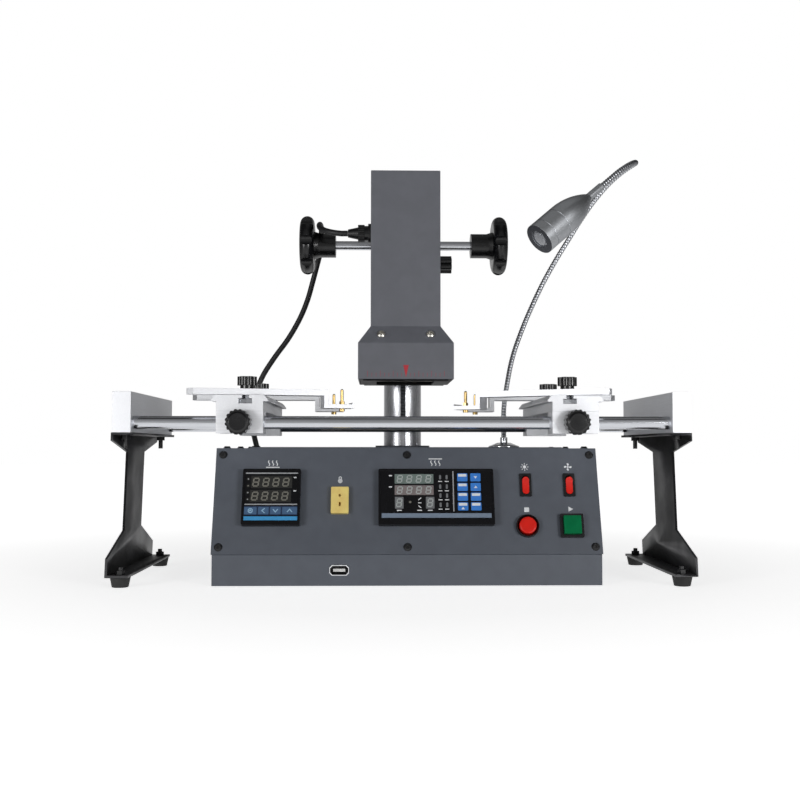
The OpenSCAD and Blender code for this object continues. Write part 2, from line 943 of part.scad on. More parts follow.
module column() {
    color([0.82, 0.83, 0.85])
        translate([0, col_y, top_z])
            difference() {
                union() {
                    cylinder(h = col_top - top_z - 2, d = col_d, $fn = 96);
                    translate([0, 0, col_top - top_z - 2])
                        cylinder(h = 2, d1 = col_d, d2 = col_d - 4, $fn = 96);
                }
                translate([0, 0, -cut])
                    cylinder(h = col_top - top_z - col_cap + cut, d = col_d - 2 * col_wall);
                translate([-rack_w / 2, -col_d / 2 - cut, -cut])
                    cube([rack_w, rack_back - rack_proud + cut, col_top]);
            }
}

// Points of one rack tooth, facing the front, from its lower root to its upper root
function rack_tooth(z) =
    let (mid = tooth_pitch / 4 - backlash / 4)
    [
        [dedendum, z - mid - dedendum * tan(pressure)], [-addendum, z - mid + addendum * tan(pressure)],
        [-addendum, z + mid - addendum * tan(pressure)], [dedendum, z + mid + dedendum * tan(pressure)]
    ];

module column_rack() {
    low = pinion_z - (rack_below + 0.5) * tooth_pitch;
    high = pinion_z + (rack_above + 0.5) * tooth_pitch;
    color([0.45, 0.46, 0.48])
        translate([0, rack_y, 0])
            along_x(rack_w)
                polygon(concat(
                    [[rack_back, low - tooth_pitch / 2]],
                    [[dedendum, low - tooth_pitch / 2]],
                    [for (k = [-rack_below - 1 : rack_above])
                        each rack_tooth(pinion_z + (k + 0.5) * tooth_pitch)],
                    [[dedendum, high + tooth_pitch / 2]],
                    [[rack_back, high + tooth_pitch / 2]]
                ));
}

module column_flange() {
    color([0.30, 0.31, 0.33])
        translate([0, col_y, top_z])
            difference() {
                cylinder(h = flange_h, d = flange_d);
                translate([0, 0, -cut])
                    cylinder(h = flange_h + 2 * cut, d = col_d + 2 * run_fit, $fn = 96);
                for (k = [0 : 3])
                    rotate(45 + 90 * k)
                        translate([flange_bolt_r, 0, flange_h * 0.3])
                            cylinder(h = flange_h, d = flange_bolt_d, $fn = 24);
            }
}

// Board jig

module end_blocks() {
    color([0.80, 0.81, 0.83])
        for (side = [-1, 1])
            difference() {
                translate([jig_x + side * (end_in + end_w / 2), jig_y, leg_h])
                    centred(end_w, end_l, end_h);
                for (y = [-1, 1])
                    translate([jig_x + side * (end_in + rod_sink / 2), jig_y + y * rod_pitch / 2, rod_z])
                        rotate([0, 90, 0])
                            cylinder(h = rod_sink + 2 * run_fit, d = rod_d + 2 * run_fit,
                                center = true);
            }
}

module guide_rods() {
    color([0.84, 0.85, 0.87])
        for (y = [-1, 1])
            translate([jig_x, jig_y + y * rod_pitch / 2, rod_z])
                rotate([0, 90, 0])
                    cylinder(h = jig_span + 2 * rod_sink, d = rod_d, center = true);
}

// Outline of a leg's web in Y and Z: gussets under the end block, a post and a flared foot
module leg_web() {
    half = end_l / 2;
    post = 48;
    polygon([
        [-half, leg_h], [half, leg_h], [half, leg_h - 10], [post, leg_h - 24], [post, 63],
        [half, foot_h + 23], [half, foot_h], [-half, foot_h], [-half, foot_h + 23], [-post, 63],
        [-post, leg_h - 24], [-half, leg_h - 10]
    ]);
}

module legs() {
    drop = leg_h - foot_h;
    foot_out = leg_out + drop * tan(leg_splay);
    color([0.10, 0.10, 0.11])
        for (side = [0, 1])
            translate([jig_x, jig_y, 0])
                mirror([side, 0, 0])
                    difference() {
                        union() {
                            intersection() {
                                translate([leg_out - leg_t / 2, 0, leg_h])
                                    rotate([0, -leg_splay, 0])
                                        translate([0, 0, -leg_h])
                                            along_x(leg_t)
                                                leg_web();
                                translate([leg_out, 0, foot_h])
                                    centred(100, end_l, drop);
                            }
                            translate([leg_out - flange_w / 2, 0, leg_h - leg_t])
                                centred(flange_w, end_l, leg_t);
                            translate([foot_out - flange_w / 2 - leg_t / 2, 0, foot_h])
                                centred(flange_w, end_l, leg_t);
                        }
                        for (y = [-leg_bolt_y, leg_bolt_y])
                            translate([end_in + leg_bolt_in, y, leg_h - leg_t - cut])
                                cylinder(h = leg_t + 2 * cut, d = bolt_d + 2 * hole_fit);
                        for (y = [-foot_y, foot_y])
                            translate([foot_out - flange_w / 2 - leg_t, y, foot_h - cut])
                                cylinder(h = leg_t + 2 * cut, d = bolt_d + 2 * hole_fit);
                    }
}

module hex_nut() {
    cylinder(h = nut_h, d = nut_af / cos(30), $fn = 6);
}

module leg_bolts() {
    foot_x = leg_out + (leg_h - foot_h) * tan(leg_splay) - flange_w / 2 - leg_t;
    color([0.08, 0.08, 0.09])
        for (side = [-1, 1]) {
            for (y = [-leg_bolt_y, leg_bolt_y])
                translate([jig_x + side * (end_in + leg_bolt_in), jig_y + y, leg_h - leg_t - nut_h]) {
                    hex_nut();
                    translate([0, 0, -bolt_tail])
                        cylinder(h = nut_h + leg_t + bolt_tail, d = bolt_d, $fn = 32);
                }
            for (y = [-foot_y, foot_y])
                translate([jig_x + side * foot_x, jig_y + y, foot_h + leg_t]) {
                    hex_nut();
                    translate([0, 0, -leg_t])
                        cylinder(h = nut_h + leg_t + foot_bolt_tail, d = bolt_d, $fn = 32);
                }
        }
}

module jig_feet() {
    foot_x = leg_out + (leg_h - foot_h) * tan(leg_splay) - flange_w / 2 - leg_t;
    color([0.05, 0.05, 0.05])
        for (side = [-1, 1], y = [-foot_y, foot_y])
            translate([jig_x + side * foot_x, jig_y + y, 0])
                cylinder(h = foot_h, d1 = foot_d - 5, d2 = foot_d);
}

// Carriages

module rod_block(side, y) {
    translate([side * carriage_x, jig_y + y, rod_z])
        difference() {
            translate([0, 0, -rod_block_h / 2])
                centred(carriage_w, block_l, rod_block_h);
            rotate([0, 90, 0])
                cylinder(h = carriage_w + 2 * cut, d = rod_d + 2 * run_fit, center = true);
            if (y < 0)
                rotate([90, 0, 0])
                    cylinder(h = block_l, d = clamp_stud_d + 2 * run_fit);
        }
}

module carriage(side) {
    color([0.80, 0.81, 0.83])
        for (y = [-rod_pitch / 2, rod_pitch / 2])
            rod_block(side, y);
}

// Beam and tapered rail in one section, with a T-slot along its top
module rail_outline() {
    difference() {
        polygon([
            [-carriage_w / 2, 0], [carriage_w / 2, 0], [carriage_w / 2, beam_h],
            [rail_w / 2, beam_h], [rail_w / 2, beam_h + rail_edge],
            [rail_top_w / 2, beam_h + rail_h], [-rail_top_w / 2, beam_h + rail_h],
            [-rail_w / 2, beam_h + rail_edge], [-rail_w / 2, beam_h], [-carriage_w / 2, beam_h]
        ]);
        translate([stud_x - carriage_x, 0]) {
            translate([-slot_w / 2, beam_h])
                square([slot_w, rail_h + cut]);
            translate([-slot_room_w / 2, beam_h + rail_h - slot_neck - slot_room_h])
                square([slot_room_w, slot_room_h]);
        }
    }
}

module rail(side) {
    rail_l = rod_pitch + block_l;
    color([0.83, 0.84, 0.86])
        mirror([side < 0 ? 1 : 0, 0, 0])
            translate([carriage_x, jig_y, beam_z])
                rotate([90, 0, 0])
                    linear_extrude(rail_l, center = true)
                        rail_outline();
}

// Scalloped knob on the front rod block, with its stud up to the rod
module clamp_knob(side) {
    face_y = jig_y - rod_pitch / 2 - block_l / 2;
    stud_l = block_l / 2 - rod_d / 2 - loose + clamp_gap;
    color([0.06, 0.06, 0.07])
        translate([side * carriage_x, face_y - clamp_gap, rod_z])
            rotate([90, 0, 0]) {
                linear_extrude(clamp_t)
                    scalloped(clamp_d, clamp_scallops, 2.2);
                translate([0, 0, clamp_t])
                    cylinder(h = 1.5, d1 = clamp_d - 6, d2 = clamp_d - 10);
                translate([0, 0, -stud_l])
                    cylinder(h = stud_l + cut, d = clamp_stud_d);
            }
}

// Arms

// Puts a piece on an arm's stud, x towards the jig's middle
module on_stud(side, y) {
    translate([side * stud_x, jig_y + y, 0])
        mirror([side > 0 ? 1 : 0, 0, 0])
            children();
}

// Stud with its foot in the rail's T-slot
module stud(side, y) {
    foot_z = rail_top - slot_neck - slot_room_h + loose;
    color([0.60, 0.61, 0.63])
        on_stud(side, y) {
            translate([0, 0, foot_z])
                centred(slot_room_w - 2 * loose, nut_l, nut_foot_h);
            translate([0, 0, foot_z])
                cylinder(h = stud_top - foot_z, d = stud_d);
        }
}

// Arm with a dropped ledge at its inner end and a brass pin in the ledge
module arm(side, y, out, yaw) {
    reach = arm_l - out;
    ledge_top = arm_top - ledge_drop;
    pin_x = reach - pin_back;
    on_stud(side, y)
        rotate([0, 0, yaw]) {
            color([0.84, 0.85, 0.87])
                difference() {
                    union() {
                        translate([0, 0, arm_z])
                            linear_extrude(arm_t)
                                polygon([
                                    [-out + arm_chamfer, -arm_w / 2], [reach - ledge_l, -arm_w / 2],
                                    [reach - ledge_l, arm_w / 2], [-out + arm_chamfer, arm_w / 2],
                                    [-out, arm_w / 2 - arm_chamfer], [-out, -arm_w / 2 + arm_chamfer]
                                ]);
                        translate([reach - ledge_l - riser_t, -arm_w / 2, ledge_top - ledge_t])
                            cube([riser_t, arm_w, ledge_drop + ledge_t]);
                        translate([reach - ledge_l - riser_t, -arm_w / 2, ledge_top - ledge_t])
                            cube([ledge_l + riser_t, arm_w, ledge_t]);
                        translate([reach - ledge_lip, -arm_w / 2, ledge_top])
                            cube([ledge_lip, arm_w, ledge_lip]);
                    }
                    translate([0, 0, arm_z - cut])
                        cylinder(h = arm_t + 2 * cut, d = stud_d + 2 * run_fit);
                    translate([pin_x, 0, ledge_top - ledge_t - cut])
                        cylinder(h = ledge_t + 2 * cut, d = pin_d + 2 * run_fit, $fn = 32);
                }
            color([0.80, 0.64, 0.30])
                translate([pin_x, 0, ledge_top]) {
                    translate([0, 0, -ledge_t - pin_head_h])
                        cylinder(h = ledge_t + pin_head_h + pin_up - 1.5, d = pin_d, $fn = 32);
                    translate([0, 0, pin_up - 1.5])
                        cylinder(h = 1.5, d1 = pin_d, d2 = pin_d - 2, $fn = 32);
                    translate([0, 0, run_fit])
                        cylinder(h = pin_nut_h, d = pin_nut_d, $fn = 6);
                    translate([0, 0, -ledge_t - pin_head_h - run_fit])
                        cylinder(h = pin_head_h, d = pin_nut_d, $fn = 32);
                }
        }
}

module thumb_knob(side, y) {
    color([0.06, 0.06, 0.07])
        on_stud(side, y)
            translate([0, 0, thumb_z])
                difference() {
                    union() {
                        cylinder(h = thumb_neck_h, d = thumb_neck_d);
                        translate([0, 0, thumb_neck_h])
                            linear_extrude(thumb_h - thumb_neck_h)
                                lobed(thumb_d, thumb_lobes, 4.6);
                    }
                    translate([0, 0, -cut])
                        cylinder(h = stud_top - thumb_z + cut + 0.5, d = stud_d + 2 * run_fit);
                }
}

// Heater head

// Head's outer form, drawn in by a wall for its hollow
module head_form(inset) {
    translate([0, head_y, skirt_z - (inset > 0 ? cut : 0)])
        centred(skirt_w - 2 * inset, skirt_w - 2 * inset, skirt_h + (inset > 0 ? cut : 0));
    hull() {
        translate([0, head_y, hip_z - 0.01])
            centred(skirt_w - 2 * inset, skirt_w - 2 * inset, 0.01);
        translate([-box_w / 2 + inset, box_front + inset, box_z])
            cube([box_w - 2 * inset, box_d - 2 * inset, 0.01]);
    }
    translate([-box_w / 2 + inset, box_front + inset, box_z])
        cube([box_w - 2 * inset, box_d - 2 * inset, box_h - inset]);
}

module head_shell() {
    color([0.40, 0.41, 0.43])
        difference() {
            head_form(0);
            head_form(sheet);
            translate([0, fan_y, head_top - sheet - cut])
                cylinder(h = sheet + 2 * cut, d = fan_d);
            translate([-box_w / 2 - cut, head_socket_y, head_socket_z])
                rotate([0, 90, 0])
                    cylinder(h = sheet + 2 * cut, d = socket_hole_d + 2 * hole_fit);
        }
}

// Black rim that holds the ceramic heater in the skirt
module heater_rim() {
    color([0.06, 0.06, 0.07])
        translate([0, head_y, skirt_z])
            difference() {
                union() {
                    translate([0, 0, -rim_drop])
                        centred(rim_outside, rim_outside, rim_drop);
                    centred(rim_inside, rim_inside, rim_up);
                }
                translate([0, 0, -rim_drop - cut])
                    centred(heater_w - 4, heater_w - 4, rim_drop + rim_up + 2 * cut);
                translate([0, 0, -rim_drop + rim_lip_h])
                    centred(heater_w + 2 * loose, heater_w + 2 * loose, rim_drop + rim_up);
            }
}

module heater_plate() {
    dish = heater_w * 1.3;
    color([0.88, 0.87, 0.84])
        translate([0, head_y, skirt_z - rim_drop + rim_lip_h])
            difference() {
                centred(heater_w, heater_w, heater_t);
                translate([0, 0, heater_dish - dish])
                    rotate([0, 90, 0])
                        cylinder(h = heater_w + 2 * cut, r = dish, center = true, $fn = 128);
            }
}

module lift_block() {
    block_d = col_y + col_d / 2 + block_rear_wall - head_back;
    color([0.32, 0.33, 0.35])
        difference() {
            translate([-block_w / 2, head_back, block_z])
                cube([block_w, block_d, block_h]);
            translate([0, col_y, block_z - cut])
                cylinder(h = block_h + 2 * cut, d = col_d + 2 * run_fit, $fn = 96);
            translate([-rack_w / 2 - loose, rack_y - addendum - loose, block_z - cut])
                cube([rack_w + 2 * loose, col_d / 2, block_h + 2 * cut]);
            translate([0, pinion_y, pinion_z])
                rotate([0, 90, 0]) {
                    cylinder(h = block_w + 2 * cut, d = shaft_d + 2 * run_fit, center = true);
                    cylinder(h = pinion_w + 2 * pinion_room, r = pitch_r + addendum + pinion_room,
                        center = true);
                }
            translate([col_d / 4, col_y, lock_z])
                rotate([0, 90, 0])
                    cylinder(h = block_w, d = lock_stud_d + 2 * run_fit);
        }
}

// Pan-head screws on the shoulder's slope
module head_screws() {
    run = (skirt_w - box_w) / 2;
    tilt = atan2(hip_h, run);
    color([0.80, 0.81, 0.82])
        for (side = [-1, 1])
            translate([side * head_screw_x, (skirt_front + box_front) / 2, (hip_z + box_z) / 2])
                rotate([tilt, 0, 0])
                    translate([0, 0, run_fit])
                        difference() {
                            union() {
                                cylinder(h = 1.6, d = 11, $fn = 48);
                                translate([0, 0, 1.6])
                                    cylinder(h = 1.4, d1 = 11, d2 = 7, $fn = 48);
                            }
                            for (turn = [0, 90])
                                rotate(turn + 20)
                                    translate([0, 0, 2.4])
                                        cube([6, 1.3, 2], center = true);
                        }
}

module fan_frame() {
    color([0.07, 0.07, 0.07])
        translate([0, fan_y, fan_z])
            difference() {
                union() {
                    difference() {
                        centred(fan_w, fan_w, fan_t);
                        translate([0, 0, -cut])
                            cylinder(h = fan_t + 2 * cut, d = fan_d);
                    }
                    for (k = [0 : 3])
                        rotate(90 * k)
                            translate([0, -1.5, 0])
                                cube([fan_w / 2 - 0.5, 3, 2]);
                    cylinder(h = 2, d = fan_hub_d);
                    cylinder(h = fan_t - 3, d = 3, $fn = 24);
                }
                for (x = [-1, 1], y = [-1, 1])
                    translate([x * fan_screw, y * fan_screw, -cut])
                        cylinder(h = fan_t + 2 * cut, d = 3.6, $fn = 24);
            }
}

module fan_rotor() {
    color([0.09, 0.09, 0.09])
        translate([0, fan_y, fan_z + 2 + loose])
            difference() {
                union() {
                    cylinder(h = fan_t - 4, d = fan_hub_d - 1);
                    intersection() {
                        for (k = [0 : fan_blades - 1])
                            rotate(360 * k / fan_blades)
                                translate([fan_hub_d / 2 - 2, 0, (fan_t - 4) / 2])
                                    rotate([38, 0, 0])
                                        translate([0, -7, -0.7])
                                            cube([fan_d, 14, 1.4]);
                        cylinder(h = fan_t - 4, d = fan_d - 2);
                    }
                }
                translate([0, 0, -cut])
                    cylinder(h = fan_t, d = 3 + 2 * run_fit, $fn = 24);
            }
}

// Wire guard: rings on a low dome, four legs out to screws at the corners
module fan_guard() {
    rings = [[6, 4.4], [12, 3.9], [18, 3.0], [24, 1.8]];
    color([0.78, 0.79, 0.80])
        translate([0, fan_y, head_top]) {
            for (ring = rings)
                translate([0, 0, ring[1]])
                    rotate_extrude($fn = 48)
                        translate([ring[0], 0])
                            circle(d = guard_wire, $fn = 16);
            for (k = [0 : 3])
                rotate(45 + 90 * k) {
                    translate([0, 0, 4.4])
                        rotate([0, 90 + 5.6, 0])
                            cylinder(h = fan_screw * sqrt(2), d = guard_wire, $fn = 16);
                    translate([fan_screw * sqrt(2), 0, 0])
                        cylinder(h = 3.2, d1 = 7, d2 = 4.5, $fn = 32);
                }
        }
}

// Involute pinion on its shaft
function turn_in(a) = tan(a) * 180 / PI - a;
function tooth_half(r) =
    let (base_r = pitch_r * cos(pressure))
    90 / pinion_teeth - backlash / 4 / pitch_r * 180 / PI
        + turn_in(pressure) - turn_in(acos(min(1, base_r / r)));
function polar(r, a) = [r * cos(a), r * sin(a)];

module pinion_outline() {
    steps = 5;
    root_r = pitch_r - dedendum;
    base_r = max(pitch_r * cos(pressure), root_r);
    tip_r = pitch_r + addendum;
    radii = [for (k = [0 : steps]) base_r + (tip_r - base_r) * k / steps];
    polygon([for (k = [0 : pinion_teeth - 1]) each concat(
        [polar(root_r, 360 * k / pinion_teeth - tooth_half(base_r))],
        [for (r = radii) polar(r, 360 * k / pinion_teeth - tooth_half(r))],
        [for (i = [steps : -1 : 0]) polar(radii[i], 360 * k / pinion_teeth + tooth_half(radii[i]))],
        [polar(root_r, 360 * k / pinion_teeth + tooth_half(base_r))])]);
}

module pinion_shaft() {
    color([0.80, 0.81, 0.83])
        translate([0, pinion_y, pinion_z]) {
            along_x(pinion_w)
                pinion_outline();
            rotate([0, 90, 0])
                cylinder(h = 2 * (wheel_x + wheel_t / 2), d = shaft_d, center = true);
        }
}

// Handwheel's section from its inner face, as radius and length along the shaft
module wheel_section() {
    square([(wheel_d - wheel_t) / 2, wheel_t]);
    intersection() {
        translate([(wheel_d - wheel_t) / 2, wheel_t / 2])
            circle(d = wheel_t);
        square([wheel_d, wheel_t]);
    }
}

// Star handwheels at both ends of the shaft
module handwheels() {
    color([0.06, 0.06, 0.07])
        for (side = [-1, 1])
            translate([0, pinion_y, pinion_z])
                along_side(side)
                    difference() {
                        union() {
                            translate([0, 0, hub_x])
                                cylinder(h = wheel_x - hub_x + cut, d = hub_d);
                            translate([0, 0, wheel_x - hub_flare[0]])
                                cylinder(h = hub_flare[0], d1 = hub_d, d2 = hub_flare[1]);
                            translate([0, 0, wheel_x])
                                rotate_extrude()
                                    wheel_section();
                        }
                        for (k = [0 : wheel_scallops - 1])
                            rotate(360 * k / wheel_scallops)
                                translate([wheel_scallop_x, 0, wheel_x - cut])
                                    cylinder(h = wheel_t + 2 * cut, r = wheel_scallop_r, $fn = 32);
                        translate([0, 0, hub_x - cut])
                            cylinder(h = wheel_x + wheel_t / 2 - hub_x + cut + loose,
                                d = shaft_d + 2 * run_fit);
                        translate([0, 0, wheel_x + wheel_t - 4])
                            cylinder(h = 4 + cut, d1 = wheel_d * 0.4, d2 = wheel_d * 0.5);
                    }
}

module lock_knob() {
    stud_l = lock_x - col_d / 2 - loose;
    color([0.06, 0.06, 0.07])
        translate([lock_x, col_y, lock_z])
            along_side(1) {
                linear_extrude(lock_t)
                    lobed(lock_d, 6, 4.8);
                translate([0, 0, -stud_l])
                    cylinder(h = stud_l + cut, d = lock_stud_d, $fn = 32);
            }
}

// Round connector on the head's left side, with its cable gland
module head_socket() {
    color([0.07, 0.07, 0.08])
        translate([-box_w / 2, head_socket_y, head_socket_z])
            along_side(-1) {
                translate([0, 0, -6])
                    cylinder(h = 6, d = socket_hole_d);
                cylinder(h = 4, d = 27);
                translate([0, 0, 4])
                    cylinder(h = 5, d = 21);
                translate([0, 0, 9])
                    linear_extrude(9)
                        scalloped(24, 24, 1);
                translate([0, 0, 18])
                    cylinder(h = plug_l - 18, d1 = 17, d2 = cable_d + 3);
            }
}

module head_cable() {
    color([0.05, 0.05, 0.05])
        translate([0, 0, base_h])
            tube(cable_route, cable_d);
}

module base_gland() {
    foot = cable_route[len(cable_route) - 1];
    color([0.06, 0.06, 0.06])
        translate([foot[0], foot[1], base_h])
            cylinder(h = gland_h, d1 = gland_d, d2 = gland_d - 2);
}

// Work lamp

module lamp_base() {
    color([0.82, 0.83, 0.85])
        translate([lamp_x, lamp_y, top_z]) {
            cylinder(h = lamp_foot_edge, d = lamp_foot_d);
            translate([0, 0, lamp_foot_edge])
                cylinder(h = lamp_foot_h - lamp_foot_edge, d1 = lamp_foot_d - 1, d2 = ferrule_d + 9);
            translate([0, 0, lamp_foot_h])
                cylinder(h = ferrule_h, d = ferrule_d);
        }
}

module gooseneck() {
    color([0.62, 0.63, 0.65])
        translate([lamp_x, lamp_y, neck_z])
            tube(goose_route, goose_d);
}

// Lamp's section from its tail, as radius and length along its axis: a bowed tail and a straight barrel
module lamp_section() {
    r = lamp_d / 2;
    bow_l = lamp_l * 0.55;
    rise = r - ferrule_d / 2;
    bow_r = (rise * rise + bow_l * bow_l) / (2 * rise);
    difference() {
        union() {
            intersection() {
                translate([r - bow_r, bow_l])
                    circle(bow_r, $fn = 192);
                square([r, bow_l]);
            }
            translate([0, bow_l])
                square([r, lamp_l - bow_l]);
        }
        for (z = lamp_grooves)
            translate([r - lamp_groove, lamp_l * z])
                square([2 * lamp_groove, lamp_groove]);
        translate([0, lamp_l - lamp_lens_sink])
            square([lamp_lens_d / 2, lamp_lens_sink + cut]);
    }
}

module lamp_head() {
    aim = unit(lamp_aim);
    color([0.82, 0.83, 0.85])
        translate([lamp_x, lamp_y, neck_z])
            translate(lamp_tail)
                rotate([0, acos(aim[2]), atan2(aim[1], aim[0])]) {
                    rotate_extrude($fn = 64)
                        lamp_section();
                    translate([0, 0, -lamp_ferrule_l])
                        cylinder(h = lamp_ferrule_l + 4, d = ferrule_d);
                    translate([0, 0, lamp_l - lamp_lens_sink - cut])
                        cylinder(h = lamp_lens_sink, d = lamp_lens_d * 0.8);
                }
}

base_tray();
base_cover();
front_panel();
case_screws();
top_plate();
preheater_tray();
preheater_tiles();
lower_controller();
upper_controller();
sensor_socket();
usb_port();
control_bezels();
light_rocker();
fan_rocker();
stop_button();
start_button();
power_inlet();
column();
column_rack();
column_flange();
end_blocks();
guide_rods();
legs();
leg_bolts();
jig_feet();
carriage(-1);  // left_carriage
rail(-1);  // left_rail
clamp_knob(-1);  // left_clamp_knob
carriage(1);  // right_carriage
rail(1);  // right_rail
clamp_knob(1);  // right_clamp_knob
stud(-1, front_stud_y);  // left_front_stud
arm(-1, front_stud_y, front_arm_out, front_arm_yaw);  // left_front_arm
thumb_knob(-1, front_stud_y);  // left_front_knob
stud(-1, rear_stud_y);  // left_rear_stud
arm(-1, rear_stud_y, rear_arm_out, 0);  // left_rear_arm
thumb_knob(-1, rear_stud_y);  // left_rear_knob
stud(1, front_stud_y);  // right_front_stud
arm(1, front_stud_y, right_arm_out, right_arm_yaw);  // right_front_arm
thumb_knob(1, front_stud_y);  // right_front_knob
stud(1, rear_stud_y);  // right_rear_stud
arm(1, rear_stud_y, rear_arm_out, 0);  // right_rear_arm
thumb_knob(1, rear_stud_y);  // right_rear_knob
head_shell();
heater_plate();
heater_rim();
lift_block();
head_screws();
fan_frame();
fan_guard();
fan_rotor();
pinion_shaft();
handwheels();
lock_knob();
head_socket();
head_cable();
base_gland();
lamp_base();
gooseneck();
lamp_head();
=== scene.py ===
import math

import bmesh
import bpy
from mathutils import Matrix, Vector


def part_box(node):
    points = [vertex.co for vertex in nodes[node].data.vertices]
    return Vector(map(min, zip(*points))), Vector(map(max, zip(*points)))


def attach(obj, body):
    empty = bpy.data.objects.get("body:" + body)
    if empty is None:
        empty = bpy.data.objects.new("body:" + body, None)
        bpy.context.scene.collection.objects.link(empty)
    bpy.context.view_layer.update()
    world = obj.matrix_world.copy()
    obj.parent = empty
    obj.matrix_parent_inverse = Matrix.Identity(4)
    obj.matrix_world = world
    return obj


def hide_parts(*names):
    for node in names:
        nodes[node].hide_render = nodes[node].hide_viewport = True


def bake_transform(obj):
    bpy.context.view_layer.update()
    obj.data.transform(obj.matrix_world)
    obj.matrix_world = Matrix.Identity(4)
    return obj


# Looks of an infrared rework station: base with controllers, heater head on a column, board jig and lamp
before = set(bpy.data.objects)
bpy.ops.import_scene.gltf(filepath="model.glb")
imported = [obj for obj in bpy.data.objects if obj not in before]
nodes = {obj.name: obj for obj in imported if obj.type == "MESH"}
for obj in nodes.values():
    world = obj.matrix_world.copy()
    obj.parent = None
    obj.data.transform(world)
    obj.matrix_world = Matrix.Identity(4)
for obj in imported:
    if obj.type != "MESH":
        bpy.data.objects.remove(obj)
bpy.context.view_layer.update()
mm = 0.001
sides = ("left", "right")
corners = [side + end for side in sides for end in ("_front", "_rear")]


# Camera at the photograph's viewpoint

camera_place = Vector((-38.3, -1470, 168)) * mm
camera_lens = 47.4
camera_pitch = math.radians(2.644)
camera_yaw = math.radians(-1.267)
camera_roll = math.radians(0.032)


def make_camera():
    data = bpy.data.cameras.new("camera")
    data.lens = camera_lens
    camera = bpy.data.objects.new("camera", data)
    bpy.context.scene.collection.objects.link(camera)
    turn = (
        Matrix.Rotation(camera_yaw, 4, "Z")
        @ Matrix.Rotation(math.pi / 2 + camera_pitch, 4, "X")
        @ Matrix.Rotation(camera_roll, 4, "Z")
    )
    camera.matrix_world = Matrix.Translation(camera_place) @ turn
    bpy.context.scene.camera = camera


make_camera()


# Materials

def srgb(red, green, blue):
    """Linear colour of an sRGB colour given from 0 to 255"""
    def linear(value):
        value /= 255
        return value / 12.92 if value <= 0.04045 else ((value + 0.055) / 1.055) ** 2.4
    return (linear(red), linear(green), linear(blue), 1.0)


def shade(color, factor):
    return tuple(min(1.0, channel * factor) for channel in color[:3]) + (1.0,)


class Finish:
    """A node material with short calls for the textures that it is made of"""

    # Range that the values of a noise texture mostly keep to
    least, most = 0.3, 0.7

    def __init__(self, name, color, **sockets):
        self.material = bpy.data.materials.new(name)
        self.material.use_nodes = True
        self.tree = self.material.node_tree
        self.shader = self.tree.nodes["Principled BSDF"]
        self.color = color
        for socket, value in sockets.items():
            self.shader.inputs[socket.replace("_", " ")].default_value = value

    def node(self, kind, **inputs):
        made = self.tree.nodes.new(kind)
        for name, value in inputs.items():
            socket = made.inputs[name.replace("_", " ")]
            if isinstance(value, bpy.types.NodeSocket):
                self.tree.links.new(value, socket)
            else:
                socket.default_value = value
        return made

    def noise(self, scale, stretch):
        coords = self.node("ShaderNodeTexCoord")
        mapping = self.node("ShaderNodeMapping", Vector=coords.outputs["Object"], Scale=stretch)
        return self.node(
            "ShaderNodeTexNoise", Vector=mapping.outputs["Vector"], Scale=scale, Detail=3.0
        ).outputs["Fac"]

    def mottle(self, amount, scale, stretch=(1, 1, 1)):
        """Colour that varies a little about the material's own"""
        tones = self.node("ShaderNodeValToRGB", Fac=self.noise(scale, stretch))
        low, high = tones.color_ramp.elements
        low.position, high.position = self.least, self.most
        low.color = shade(self.color, 1 - amount)
        high.color = shade(self.color, 1 + amount)
        self.tree.links.new(tones.outputs["Color"], self.shader.inputs["Base Color"])
        return self

    def gloss(self, low, high, scale, stretch=(1, 1, 1)):
        """Roughness between two values"""
        between = self.node(
            "ShaderNodeMapRange", Value=self.noise(scale, stretch),
            From_Min=self.least, From_Max=self.most, To_Min=low, To_Max=high,
        )
        self.tree.links.new(between.outputs["Result"], self.shader.inputs["Roughness"])
        return self

    def grain(self, strength, depth, scale, stretch=(1, 1, 1)):
        """Fine relief, with its depth in metres"""
        bump = self.node(
            "ShaderNodeBump", Height=self.noise(scale, stretch), Strength=strength, Distance=depth
        )
        self.tree.links.new(bump.outputs["Normal"], self.shader.inputs["Normal"])
        return self


def powder_coat(name, color, **sockets):
    coat = Finish(name, color, **sockets).mottle(amount=0.05, scale=60).gloss(0.38, 0.52, scale=25)
    return coat.grain(strength=0.35, depth=0.0002, scale=1100).material


def moulded(name, color, low, high, **sockets):
    skin = Finish(name, color, **sockets).mottle(amount=0.1, scale=90).gloss(low, high, scale=60)
    return skin.grain(strength=0.25, depth=0.0001, scale=1600).material


def metal(name, color, low, high, stretch, streak=0.12):
    """Metal with machining marks along the axis that has the smallest stretch"""
    scale = 30
    made = Finish(name, color, Metallic=1.0).mottle(0.05, scale, stretch).gloss(low, high, scale, stretch)
    return made.grain(streak, 0.0001, scale, stretch).material


def printed(name, color, roughness=0.5):
    swing = 0.06
    ink = Finish(name, color).mottle(amount=0.06, scale=300)
    return ink.gloss(roughness - swing, roughness + swing, scale=200).material


